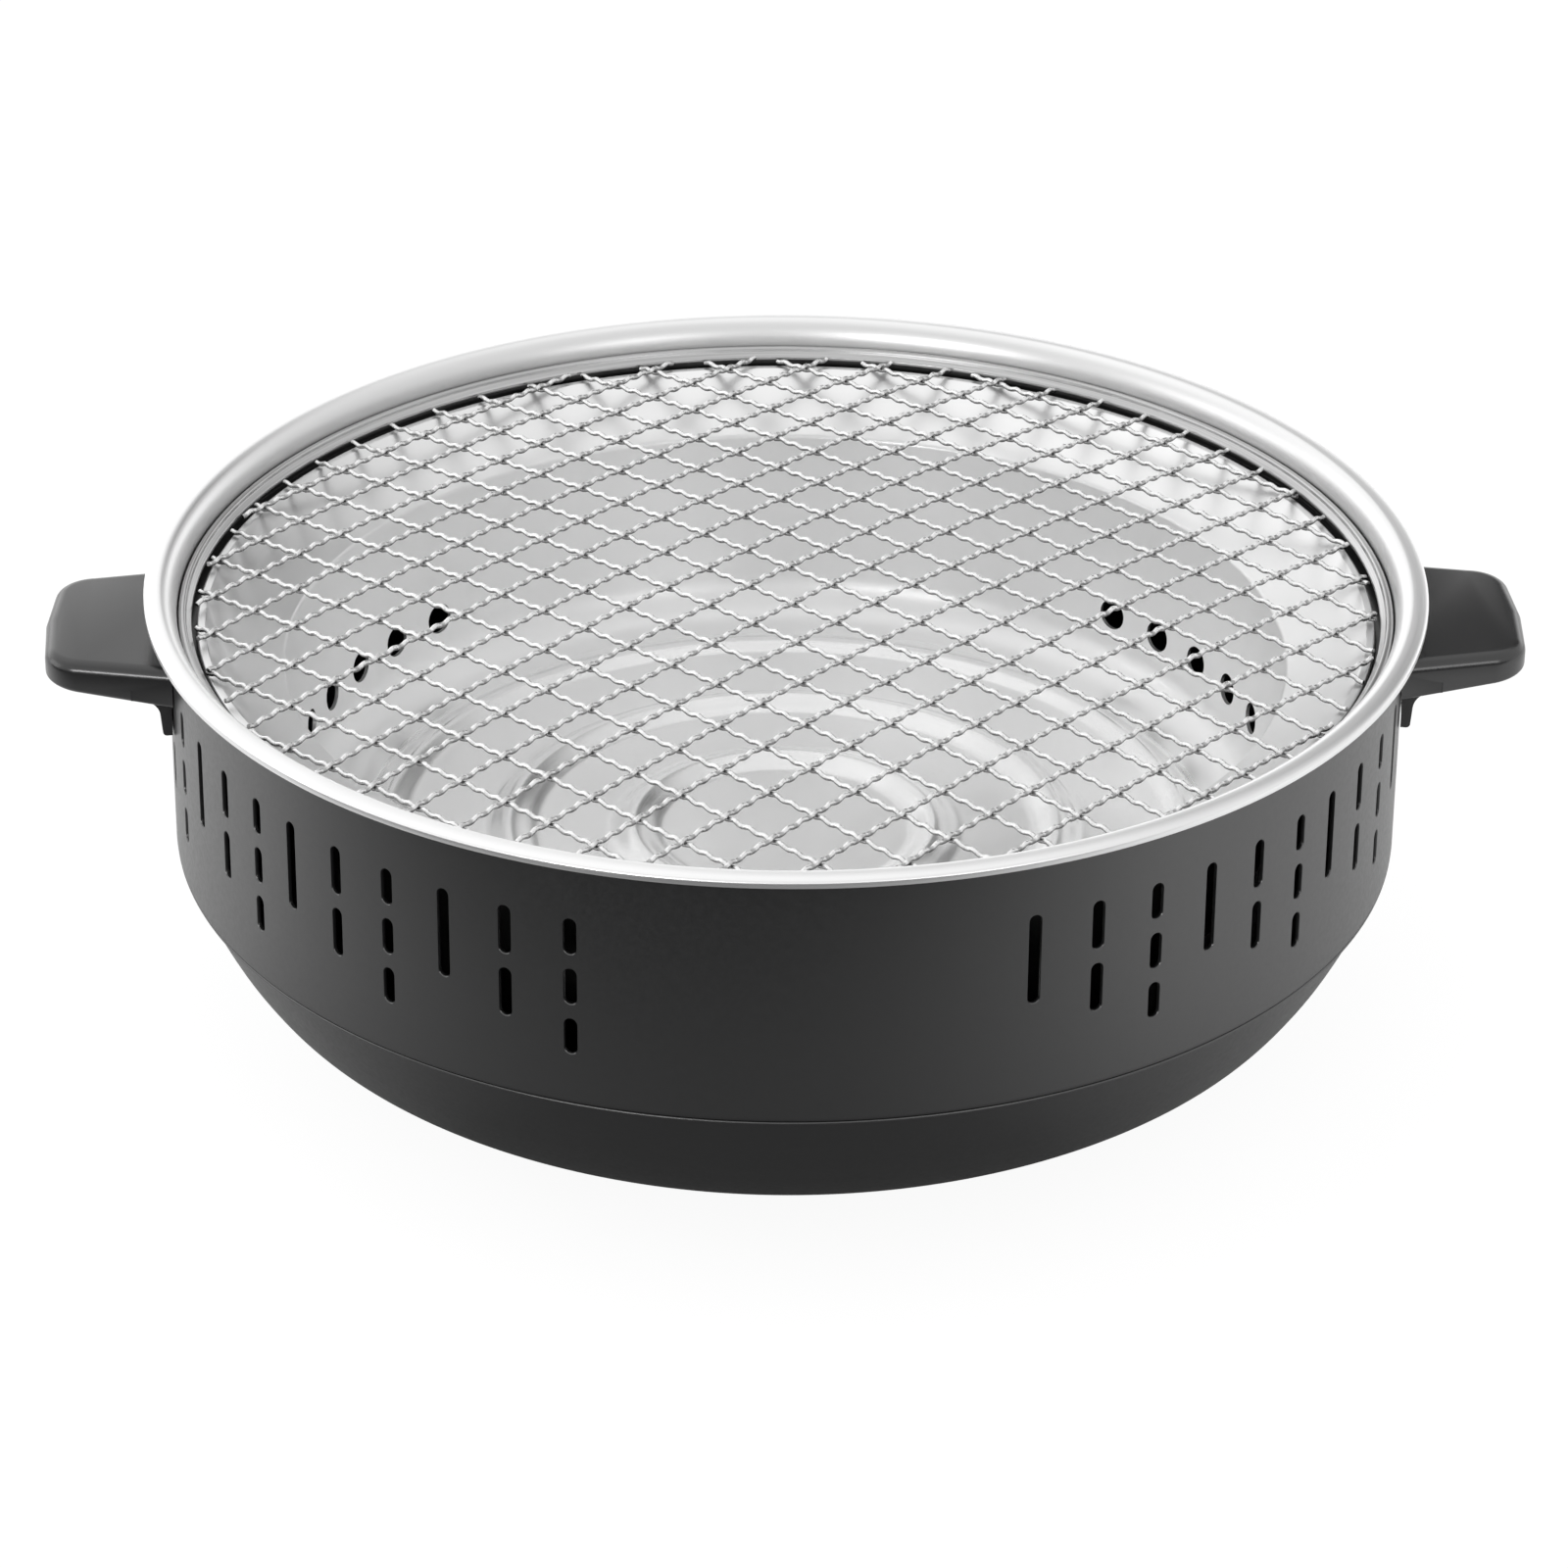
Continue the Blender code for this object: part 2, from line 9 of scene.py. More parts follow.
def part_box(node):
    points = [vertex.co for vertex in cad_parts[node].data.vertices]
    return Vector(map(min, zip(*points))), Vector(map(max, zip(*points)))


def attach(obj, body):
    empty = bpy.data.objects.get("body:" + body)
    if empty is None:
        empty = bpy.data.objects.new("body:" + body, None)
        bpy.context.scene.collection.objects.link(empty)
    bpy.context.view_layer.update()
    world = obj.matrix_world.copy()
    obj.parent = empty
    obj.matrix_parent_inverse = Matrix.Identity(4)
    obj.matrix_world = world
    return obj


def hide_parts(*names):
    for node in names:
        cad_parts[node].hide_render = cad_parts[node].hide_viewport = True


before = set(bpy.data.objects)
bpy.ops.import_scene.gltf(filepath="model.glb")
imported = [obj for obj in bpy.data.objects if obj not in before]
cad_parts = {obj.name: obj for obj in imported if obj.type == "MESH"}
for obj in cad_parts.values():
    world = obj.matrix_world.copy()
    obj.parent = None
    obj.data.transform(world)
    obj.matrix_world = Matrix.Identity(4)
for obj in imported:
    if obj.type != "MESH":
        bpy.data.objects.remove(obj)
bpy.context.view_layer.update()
print("frame loaded")

# The boxes of the solids give the places that the modelled pieces have to meet
boxes = {name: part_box(name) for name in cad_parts}
wallRadius = boxes["shell_wall"][1].x
wallBottom = boxes["shell_wall"][0].z
wallTop = boxes["shell_wall"][1].z
ringRadius = boxes["rim_ring"][1].x
ringTop = boxes["rim_ring"][1].z
ringBottom = boxes["rim_ring"][0].z
channelRadius = boxes["support_ring"][1].x
channelBottom = boxes["support_ring"][0].z
bowlRadius = boxes["fire_bowl"][1].x
bowlTop = boxes["fire_bowl"][1].z
bowlBottom = boxes["fire_bowl"][0].z
collarRadius = boxes["base_bowl"][1].x
collarTop = boxes["base_bowl"][1].z
baseBottom = boxes["base_bowl"][0].z
gripTop = boxes["handle_right"][1].z
gripBottom = boxes["handle_right"][0].z
gripReach = boxes["handle_right"][1].x

# The height of the rim ring over its outer edge. The camera aims at the middle of that edge's plane
lipHeight = 0.0026
lipPlane = ringTop - lipHeight
common = {
    "sheet": 0.0010,
    "trimSheet": 0.0007,
    "gap": 0.0003,
    "overrun": 0.002,
    "steps": 256,
    "fineSteps": 48,
    "holeSteps": 24,
    "sharpAngle": 32,
    # Lengths below which points merge or lie on the axis, and the turn that is still straight
    "merge": 1e-7,
    "onAxis": 1e-6,
    "straight": 1e-4,
}


# Outlines

def rounded(corners, degreesPerPoint=9):
    # Points along (radius, height, fillet) corners, each corner rounded by its own fillet
    points = [Vector(corners[0][:2])]
    for before, corner, after in zip(corners, corners[1:], corners[2:]):
        here = Vector(corner[:2])
        back = (Vector(before[:2]) - here).normalized()
        ahead = (Vector(after[:2]) - here).normalized()
        turn = math.pi - back.angle(ahead)
        fillet = corner[2] if len(corner) > 2 else 0
        if not fillet or turn < common["straight"]:
            points.append(here)
            continue
        reach = fillet * math.tan(turn / 2)
        centre = here + (back + ahead).normalized() * math.hypot(fillet, reach)
        start, end = here + back * reach - centre, here + ahead * reach - centre
        side = math.copysign(1, start.x * end.y - start.y * end.x)
        steps = max(2, round(math.degrees(turn) / degreesPerPoint))
        for step in range(steps + 1):
            points.append(centre + Matrix.Rotation(side * turn * (step / steps), 2) @ start)
    points.append(Vector(corners[-1][:2]))
    return points


def smoothed(points, steps=8):
    # A smooth curve through the points, level where it ends
    points = [Vector(point) for point in points]
    last = points[-1] - Vector((points[-2].x - points[-1].x, 0))
    padded = [points[0] * 2 - points[1], *points, last]
    path = [points[0]]
    for a, b, c, d in zip(padded, padded[1:], padded[2:], padded[3:]):
        for step in range(1, steps + 1):
            t = step / steps
            bend = (a * 2 - b * 5 + c * 4 - d) * t**2 + (b * 3 - a - c * 3 + d) * t**3
            path.append(b + ((c - a) * t + bend) / 2)
    return path


def offsetPath(path, distance):
    # The path moved to the right of its direction, mitred at its corners
    normals = []
    for a, b in zip(path, path[1:]):
        along = (b - a).normalized()
        normals.append(Vector((along.y, -along.x)))
    moved = []
    for index, point in enumerate(path):
        before, after = normals[max(index - 1, 0)], normals[min(index, len(normals) - 1)]
        moved.append(point + (before + after) * distance / (1 + before.dot(after)))
    return moved


def endRound(a, b, steps=3):
    # A half circle from a to b, without its ends, bulging ahead of the sheet's edge
    centre, half = (a + b) / 2, (a - b) / 2
    angles = [math.pi * step / (steps + 1) for step in range(1, steps + 1)]
    return [centre + Matrix.Rotation(angle, 2) @ half for angle in angles]


def sheetOutline(path, thickness):
    # Both faces of a sheet, with rounded edges where it doesn't end on the axis
    path = list(path)
    path[0] = path[0] + (path[1] - path[0]).normalized() * abs(thickness) / 2
    if path[-1].x > common["onAxis"]:
        path[-1] = path[-1] + (path[-2] - path[-1]).normalized() * abs(thickness) / 2
    other = offsetPath(path, thickness)
    closing = []
    if path[-1].x < common["onAxis"]:
        other[-1].x = 0
    else:
        closing = endRound(path[-1], other[-1]) if thickness < 0 else endRound(other[-1], path[-1])[::-1]
    opening = endRound(other[0], path[0]) if thickness < 0 else endRound(path[0], other[0])[::-1]
    return path + closing + other[::-1] + opening


def arc(centre, across, start, end, steps, up=None):
    # Points along a circle, or along an ellipse where its radius along the second axis is given
    angles = [math.radians(start + (end - start) * step / steps) for step in range(steps + 1)]
    x, y = centre
    return [Vector((x + across * math.cos(a), y + (up or across) * math.sin(a))) for a in angles]


# Meshes

def placed(name, mesh, sharpAngle):
    mesh.name = name
    mesh.shade_smooth()
    mesh.set_sharp_from_angle(angle=math.radians(sharpAngle))
    piece = bpy.data.objects.new(name, mesh)
    bpy.context.scene.collection.objects.link(piece)
    return piece


def finished(bm, name):
    bmesh.ops.remove_doubles(bm, verts=bm.verts, dist=common["merge"])
    bmesh.ops.recalc_face_normals(bm, faces=bm.faces)
    mesh = bpy.data.meshes.new(name)
    bm.to_mesh(mesh)
    bm.free()
    return placed(name, mesh, common["sharpAngle"])


def evaluated(piece):
    # The mesh of a piece with its modifiers or its bevel applied. The piece itself is removed
    bpy.context.view_layer.update()
    graph = bpy.context.evaluated_depsgraph_get()
    mesh = bpy.data.meshes.new_from_object(piece.evaluated_get(graph))
    bpy.data.objects.remove(piece, do_unlink=True)
    return mesh


def spun(bm, outline, steps):
    # A closed outline of (radius, height) points turned about Z. Stretches on the axis are left out
    verts = [bm.verts.new((point[0], 0, point[1])) for point in outline]
    pairs = zip(verts, verts[1:] + verts[:1])
    edges = [bm.edges.new(pair) for pair in pairs if max(vert.co.x for vert in pair) > common["onAxis"]]
    bmesh.ops.spin(
        bm, geom=verts + edges, cent=(0, 0, 0), axis=(0, 0, 1), angle=math.tau, steps=steps, use_merge=True
    )


def turnedPiece(name, outline, steps=None):
    bm = bmesh.new()
    spun(bm, outline, steps or common["steps"])
    return finished(bm, name)


def prism(bm, outline, matrix, low, high, flare=0):
    # A closed prism along local Z. Its upper end can flare out, for a softened edge where it cuts
    face = bm.faces.new([bm.verts.new(matrix @ Vector((x, y, low))) for x, y in outline])
    levels = [low, high - flare, high] if flare else [low, high]
    for below, level in zip(levels, levels[1:]):
        made = bmesh.ops.extrude_face_region(bm, geom=[face])
        if below > low:
            bmesh.ops.delete(bm, geom=[face], context="FACES_ONLY")
        moved = [item for item in made["geom"] if isinstance(item, bmesh.types.BMVert)]
        face = next(item for item in made["geom"] if isinstance(item, bmesh.types.BMFace))
        bmesh.ops.translate(bm, verts=moved, vec=matrix.to_3x3() @ Vector((0, 0, level - below)))
    if flare:
        middle = face.calc_center_median()
        for vert in moved:
            vert.co += (vert.co - middle).normalized() * flare


def outwards(angle, radius=0, height=0):
    # Local Z points outwards at this angle from +X, local X along the wall and local Y up
    turn = Matrix.Rotation(math.radians(angle), 4, "Z")
    axes = Matrix(((0, 0, 1, 0), (1, 0, 0, 0), (0, 1, 0, 0), (0, 0, 0, 1)))
    return turn @ Matrix.Translation((radius, 0, height)) @ axes


def upright(angle, radius, height=0):
    # Local Z points up at this angle from +X, and local X outwards
    return Matrix.Rotation(math.radians(angle), 4, "Z") @ Matrix.Translation((radius, 0, height))


def combined(piece, other, operation="DIFFERENCE"):
    # Applies one Boolean and removes the other object
    name = piece.name
    modifier = piece.modifiers.new("cut", "BOOLEAN")
    modifier.operation = operation
    modifier.solver = "EXACT"
    modifier.object = other
    mesh = evaluated(piece)
    bpy.data.objects.remove(other, do_unlink=True)
    return placed(name, mesh, common["sharpAngle"])


def copied(piece, name, matrix):
    twin = bpy.data.objects.new(name, piece.data.copy())
    twin.data.name = name
    twin.data.transform(matrix)
    bpy.context.scene.collection.objects.link(twin)
    return twin


def dressed(piece, node, material, body):
    piece.data.materials.clear()
    piece.data.materials.append(material)
    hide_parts(node)
    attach(piece, body)


# The wire grate's sizes, which its finish uses too

grate = {
    "wireRadius": 0.00066,
    "pitch": 0.0150,
    "turn": 46.1,
    "offsets": (0.0056, 0.0036),
    "radius": 0.1519,
    "rise": 0.0065,
    "kink": 0.00030,
    "kinksPerCell": 3,
    "sideKink": 0.00012,
    "pointsPerCell": 18,
    "fewestPoints": 4,
    # How far a wire wanders sideways at most, and how fast it does so along its run
    "spread": 0.00022,
    "wander": 0.9,
    "seed": 7,
    "edgeGap": 0.0025,
    "wireResolution": 2,
    "restClearance": 0.0003,
    "sharpAngle": 50,
}


# Finishes

class Value:
    # One output of a node, with Python's operators as Math nodes
    def __init__(self, paint, socket):
        self.paint, self.socket = paint, socket

    def math(self, operation, *values):
        return self.paint.node("ShaderNodeMath", {"operation": operation}, dict(enumerate(values)))

    def __add__(self, other):
        return self.math("ADD", self, other)

    def __radd__(self, other):
        return self.math("ADD", other, self)

    def __sub__(self, other):
        return self.math("SUBTRACT", self, other)

    def __rsub__(self, other):
        return self.math("SUBTRACT", other, self)

    def __mul__(self, other):
        return self.math("MULTIPLY", self, other)

    def __rmul__(self, other):
        return self.math("MULTIPLY", other, self)

    def __truediv__(self, other):
        return self.math("DIVIDE", self, other)

    def __pow__(self, other):
        return self.math("POWER", self, other)

    def ramp(self, low, high, start=0.0, end=1.0):
        names = ("Value", "From Min", "From Max", "To Min", "To Max")
        inputs = dict(zip(names, (self, low, high, start, end)))
        return self.paint.node("ShaderNodeMapRange", {"clamp": True}, inputs)


class Nodes:
    # A node tree in the making
    def __init__(self, tree):
        self.tree = tree

    def put(self, node, inputs):
        for key, value in inputs.items():
            if isinstance(value, Value):
                self.tree.links.new(value.socket, node.inputs[key])
            elif value is not None:
                node.inputs[key].default_value = value

    def node(self, kind, settings, inputs, output=0):
        made = self.tree.nodes.new(kind)
        for key, value in settings.items():
            setattr(made, key, value)
        self.put(made, inputs)
        return Value(self, made.outputs[output])

    def place(self):
        return self.node("ShaderNodeTexCoord", {}, {}, "Object")

    def facing(self):
        return self.node("ShaderNodeNewGeometry", {}, {}, "Normal")

    def apart(self, vector):
        return [self.node("ShaderNodeSeparateXYZ", {}, {0: vector}, axis) for axis in "XYZ"]

    def together(self, x, y, z):
        return self.node("ShaderNodeCombineXYZ", {}, {0: x, 1: y, 2: z})

    def noise(self, vector, scale, detail=2.0, roughness=0.5):
        inputs = {"Vector": vector, "Scale": scale, "Detail": detail, "Roughness": roughness}
        return self.node("ShaderNodeTexNoise", {}, inputs)

    def mix(self, factor, first, second):
        # The colour sockets of a Mix node are its inputs 6 and 7 and its output 2
        return self.node("ShaderNodeMix", {"data_type": "RGBA"}, {0: factor, 6: first, 7: second}, 2)

    def bump(self, height, distance, strength=1.0, below=None):
        inputs = {"Height": height, "Distance": distance, "Strength": strength, "Normal": below}
        return self.node("ShaderNodeBump", {}, inputs)


class Paint(Nodes):
    # A material in the making, on one Principled shader
    def __init__(self, name, **plain):
        self.material = bpy.data.materials.new(name)
        self.material.use_nodes = True
        super().__init__(self.material.node_tree)
        self.shader = self.tree.nodes["Principled BSDF"]
        self.put(self.shader, {key.replace("_", " "): value for key, value in plain.items()})

    def done(self, **changing):
        self.put(self.shader, {key.replace("_", " "): value for key, value in changing.items()})
        return self.material


def rings(paint, across, around):
    # Coordinates that run along the circles about the axis: fine across them and long around them
    x, y, z = paint.apart(paint.place())
    radius = (x * x + y * y) ** 0.5
    angle = x.math("ARCTAN2", y, x)
    return paint.together(radius * across, z * across, angle * around)


def grey(level):
    return (level, level, level, 1)


# A noise lies about 0.5, and a finish's values run over one of these stretches of it
noiseWide, noiseMiddle, noiseNarrow = (0.2, 0.8), (0.25, 0.75), (0.3, 0.7)
paintLook = {
    "dark": (0.0070, 0.0072, 0.0075, 1),
    "light": (0.0095, 0.0097, 0.0101, 1),
    "roughness": (0.28, 0.38),
    "peelScale": 700,
    "peelDepth": 0.00003,
    "peelStrength": 0.5,
    "cloudScale": 14,
}


def blackPaint():
    look = paintLook
    paint = Paint("blackPaint", Metallic=0.0, IOR=1.65, Specular_IOR_Level=0.85)
    peel = paint.noise(paint.place(), look["peelScale"], 3)
    cloud = paint.noise(paint.place(), look["cloudScale"], 2)
    return paint.done(
        Base_Color=paint.mix(cloud, look["dark"], look["light"]),
        Roughness=peel.ramp(*noiseWide, *look["roughness"]),
        Normal=paint.bump(peel, look["peelDepth"], look["peelStrength"]),
    )


# The lines of the two rings' steel: how fine they are across and around, and how deep
ringLines = {"across": 2600, "around": 3.0, "depth": 0.00002}
rimLook = {
    "dark": 0.91,
    "light": 0.97,
    # The colour of the painted shade on the inner slope
    "shadedSlope": 0.72,
    # Inwards from the rim's edge: where the painted shade on the inner slope is whole, and where it ends
    "slopeShadeInset": (0.0078, 0.0044),
    "roughness": (0.33, 0.41),
    "strength": 0.10,
    "cloudScale": 30,
}
channelLook = {
    "dark": 0.44,
    "light": 0.60,
    # The colour of the painted shade in the gap around the bowl
    "gapShade": 0.02,
    # Below the lip: where the painted shade in the gap around the bowl is whole, and where the steel is
    # unshaded
    "unshaded": (0.0095, 0.0068),
    "roughness": (0.28, 0.36),
    "strength": 0.15,
}


def brightSteel():
    look = rimLook
    paint = Paint("brightSteel", Metallic=1.0)
    lines = paint.noise(rings(paint, ringLines["across"], ringLines["around"]), 1, 3)
    cloud = paint.noise(paint.place(), look["cloudScale"], 2)
    # Painted shade darkens the slope inside the crest, standing in for the darker grate and bowl that it
    # reflects
    x, y, z = paint.apart(paint.place())
    inner = 1 - ((x * x + y * y) ** 0.5).ramp(*[ringRadius - inset for inset in look["slopeShadeInset"]])
    unshaded = paint.mix(cloud, grey(look["dark"]), grey(look["light"]))
    return paint.done(
        Base_Color=paint.mix(inner, unshaded, grey(look["shadedSlope"])),
        Roughness=lines.ramp(*noiseMiddle, *look["roughness"]),
        Normal=paint.bump(lines, ringLines["depth"], look["strength"]),
    )


def channelSteel():
    # Duller than the rim, with painted shade down in the gap around the bowl: black and not metallic
    look = channelLook
    paint = Paint("channelSteel")
    lines = paint.noise(rings(paint, ringLines["across"], ringLines["around"]), 1, 3)
    height = paint.apart(paint.place())[2]
    unshaded = height.ramp(*[lipPlane - drop for drop in look["unshaded"]])
    steel = paint.mix(lines.ramp(*noiseNarrow), grey(look["dark"]), grey(look["light"]))
    return paint.done(
        Base_Color=paint.mix(unshaded, grey(look["gapShade"]), steel),
        Metallic=unshaded,
        Roughness=lines.ramp(*noiseMiddle, *look["roughness"]),
        Normal=paint.bump(lines, ringLines["depth"], look["strength"]),
    )


bowlLook = {
    "dark": 0.88,
    "light": 0.96,
    # The colour of the painted shade on the outside of the bowl
    "outsideShade": 0.18,
    # How far a face looks outwards or down where the painted shade starts and where it is whole
    "outsideShadeFacing": (0.2, 0.6),
    # Radii between which it ends, short of the rolled rim
    "outsideShadeEnd": (0.146, 0.149),
    "roughness": (0.22, 0.27),
    # Radii between which the bright floor turns into the dull wall, and the roughness added there
    "wall": (0.108, 0.126),
    "dulled": 0.15,
    "lines": (1500, 2.0),
    "lineDepth": 0.00002,
    "lineStrength": 0.06,
    "waveScale": 38,
    "waveDepth": 0.0008,
    "waveStrength": 0.35,
    "cloudScale": 22,
}


def bowlSteel():
    look = bowlLook
    paint = Paint("bowlSteel", Metallic=1.0)
    lines = paint.noise(rings(paint, *look["lines"]), 1, 3)
    waves = paint.noise(paint.place(), look["waveScale"], 1)
    cloud = paint.noise(paint.place(), look["cloudScale"], 3)
    rolled = paint.bump(waves, look["waveDepth"], look["waveStrength"])
    # The drawn flange and wall are duller than the floor
    x, y, z = paint.apart(paint.place())
    radius = (x * x + y * y) ** 0.5
    dull = radius.ramp(*look["wall"])
    # The outside gets painted shade up to the rim, for the shade that falls on it inside the body
    a, b, c = paint.apart(paint.facing())
    outside = ((a * x + b * y) / radius - c).ramp(*look["outsideShadeFacing"])
    outside = outside * (1 - radius.ramp(*look["outsideShadeEnd"]))
    unshaded = paint.mix(cloud, grey(look["dark"]), grey(look["light"]))
    return paint.done(
        Base_Color=paint.mix(outside, unshaded, grey(look["outsideShade"])),
        Roughness=lines.ramp(*noiseMiddle, *look["roughness"]) + dull * look["dulled"],
        Normal=paint.bump(lines, look["lineDepth"], look["lineStrength"], rolled),
    )


wireLook = {
    # The colour of the painted shade on the wires
    "paintedShade": 0.16,
    "dark": 0.80,
    "light": 0.96,
    "roughness": (0.22, 0.36),
    "speckScale": 1400,
    "speckDepth": 0.00003,
    "speckStrength": 0.3,
    "speckRange": (0.35, 0.65),
    # How far a face looks up between painted shade and unshaded steel, and how ragged that edge is
    "upwards": (-0.35, 0.35),
    "upwardsRagged": 0.5,
    # Distances from a crossing between which its painted shade ends, and how ragged that edge is
    "crossing": (0.0007, 0.0014),
    "crossingRagged": 0.0008,
    "crossingShare": 0.35,
    # The same for the notches, as the height of the crimps' wave
    "notch": (-0.95, -0.45),
    "notchRagged": 0.3,
    "notchShare": 0.6,
}


def wireSteel():
    # The wires are bright on top and darker below, with painted shade under them, at their crossings and
    # in the notches of their crimps
    look = wireLook
    paint = Paint("wireSteel", Metallic=1.0)
    specks = paint.noise(paint.place(), look["speckScale"], 2)
    upwards = paint.apart(paint.facing())[2]
    unshaded = (upwards + (specks - 0.5) * look["upwardsRagged"]).ramp(*look["upwards"])
    x, y, z = paint.apart(paint.place())
    # Painted shade where the wires cross
    turn = math.radians(grate["turn"])
    first = x * math.cos(turn) + y * math.sin(turn) - grate["offsets"][0]
    second = y * math.cos(turn) - x * math.sin(turn) - grate["offsets"][1]
    half = grate["pitch"] / 2
    a, b = [value.math("WRAP", value, half, -half) for value in (first, second)]
    distance = (a * a + b * b) ** 0.5 + (specks - 0.5) * look["crossingRagged"]
    paintedShade = 1 - distance.ramp(*look["crossing"])
    # The upper wires get painted shade in the notches between their crimps
    upper = a.math("GREATER_THAN", a * a, b * b)
    crimp = a.math("COSINE", a * (math.tau * grate["kinksPerCell"] / grate["pitch"]))
    notch = (1 - (crimp + (specks - 0.5) * look["notchRagged"]).ramp(*look["notch"])) * upper
    unshaded = unshaded * (1 - paintedShade * look["crossingShare"]) * (1 - notch * look["notchShare"])
    plated = paint.mix(specks.ramp(*look["speckRange"]), grey(look["dark"]), grey(look["light"]))
    return paint.done(
        Base_Color=paint.mix(unshaded, grey(look["paintedShade"]), plated),
        Roughness=specks.ramp(*noiseNarrow, *look["roughness"]),
        Normal=paint.bump(specks, look["speckDepth"], look["speckStrength"]),
    )


plasticLook = {
    "dark": (0.0115, 0.0115, 0.012, 1),
    "light": (0.0150, 0.0150, 0.0155, 1),
    "roughness": (0.19, 0.27),
    "grainScale": 2600,
    "grainDepth": 0.00002,
    "grainStrength": 0.35,
    "cloudScale": 60,
}


def blackPlastic():
    look = plasticLook
    paint = Paint("blackPlastic", Metallic=0.0, Specular_IOR_Level=0.88)
    grain = paint.noise(paint.place(), look["grainScale"], 2)
    cloud = paint.noise(paint.place(), look["cloudScale"], 2)
    return paint.done(
        Base_Color=paint.mix(cloud, look["dark"], look["light"]),
        Roughness=grain.ramp(*noiseWide, *look["roughness"]),
        Normal=paint.bump(grain, look["grainDepth"], look["grainStrength"]),
    )


rubberLook = {
    "dark": 0.014,
    "light": 0.024,
    "roughness": (0.68, 0.85),
    "dustScale": 900,
    "dustDepth": 0.00005,
    "dustStrength": 0.5,
    "dustRange": (0.4, 0.7),
}


def footRubber():
    look = rubberLook
    paint = Paint("footRubber", Metallic=0.0)
    dust = paint.noise(paint.place(), look["dustScale"], 4)
    return paint.done(
        Base_Color=paint.mix(dust.ramp(*look["dustRange"]), grey(look["dark"]), grey(look["light"])),
        Roughness=dust.ramp(*noiseWide, *look["roughness"]),
        Normal=paint.bump(dust, look["dustDepth"], look["dustStrength"]),
    )


zincLook = {
    "dark": (0.55, 0.56, 0.58, 1),
    "light": (0.70, 0.70, 0.70, 1),
    "roughness": (0.28, 0.45),
    "cloudScale": 600,
    "cloudDepth": 0.00002,
    "cloudStrength": 0.3,
}


def zincPlate():
    look = zincLook
    paint = Paint("zincPlate", Metallic=1.0)
    cloud = paint.noise(paint.place(), look["cloudScale"], 3)
    return paint.done(
        Base_Color=paint.mix(cloud, look["dark"], look["light"]),
        Roughness=cloud.ramp(*noiseNarrow, *look["roughness"]),
        Normal=paint.bump(cloud, look["cloudDepth"], look["cloudStrength"]),
    )


finishes = {
    "black_paint": blackPaint(),
    "bright_steel": brightSteel(),
    "channel_steel": channelSteel(),
    "bowl_steel": bowlSteel(),
    "wire_steel": wireSteel(),
    "black_plastic": blackPlastic(),
    "rubber": footRubber(),
    "zinc": zincPlate(),
}
print("finishes made")


# Body wall, with its slots

wall = {
    "steps": 720,
    "slotWidth": 0.0033,
    "endSteps": 8,
    "slotTopDrop": 0.0161,
    "slotLengths": {1: 0.0240, 2: 0.0130, 3: 0.0096},
    "bridge": 0.0041,
    "firstColumn": 20.3,
    "columnPitch": 6.1,
    "columns": 6,
    "groupPitch": 35.9,
    "groups": 4,
    "edgeRound": 0.00025,
    "screwHole": 0.0023,
    "screwAngle": 5.7,
}


def slotColumns():
    for group in range(wall["groups"]):
        for column in range(wall["columns"]):
            angle = wall["firstColumn"] + group * wall["groupPitch"] + column * wall["columnPitch"]
            yield angle, column % 3 + 1
            yield -angle, 3 - column % 3


def slotOutline(top, length):
    half = wall["slotWidth"] / 2
    steps = wall["endSteps"]
    return arc((0, top - half), half, 0, 180, steps) + arc((0, top - length + half), half, 180, 360, steps)


def makeWall():
    outer, inner = wallRadius, wallRadius - common["sheet"]
    # Points near both edges keep the shading of the rounded edges off the flat of the wall
    near = common["sheet"]
    path = [Vector((outer, height)) for height in (wallTop, wallTop - near, wallBottom + near, wallBottom)]
    piece = turnedPiece("bodyWall", sheetOutline(path, common["sheet"]), wall["steps"])
    bm = bmesh.new()
    low = inner - common["overrun"]
    for angle, kind in slotColumns():
        matrix = outwards(angle - 90)
        for index in range(kind):
            length = wall["slotLengths"][kind]
            top = wallTop - wall["slotTopDrop"] - index * (length + wall["bridge"])
            softened = wall["edgeRound"]
            prism(bm, slotOutline(top, length), matrix, low, outer + softened, flare=2 * softened)
    screwLow, screwHigh = boxes["handle_screw_right_1"]
    middle = (screwLow.z + screwHigh.z) / 2
    for side in (0, 180):
        for turn in (-wall["screwAngle"], wall["screwAngle"]):
            circle = arc((0, middle), wall["screwHole"], 0, 360, common["holeSteps"])[:-1]
            prism(bm, circle, outwards(side + turn), low, outer + common["overrun"])
    piece = combined(piece, finished(bm, "wallCuts"))
    dressed(piece, "shell_wall", finishes["black_paint"], "body")


makeWall()
print("wall made")


# Base bowl

base = {
    "seamRound": (0.0006, 0.0014),
    # A fine lip shows all round under the edge of the wall
    "lip": {"radius": 0.00045, "inset": 0.00055, "drop": 0.0006, "steps": 10},
    "curve": (
        (0.1534, 0.0467), (0.1475, 0.0358), (0.1398, 0.0260),
        (0.1280, 0.0177), (0.1167, 0.0115), (0.1061, 0.0079),
    ),
    "flatRadius": 0.0990,
    "screwHole": 0.0023,
    "footCircle": 0.0850,
    "footAngles": (45, 135, 225, 315),
}


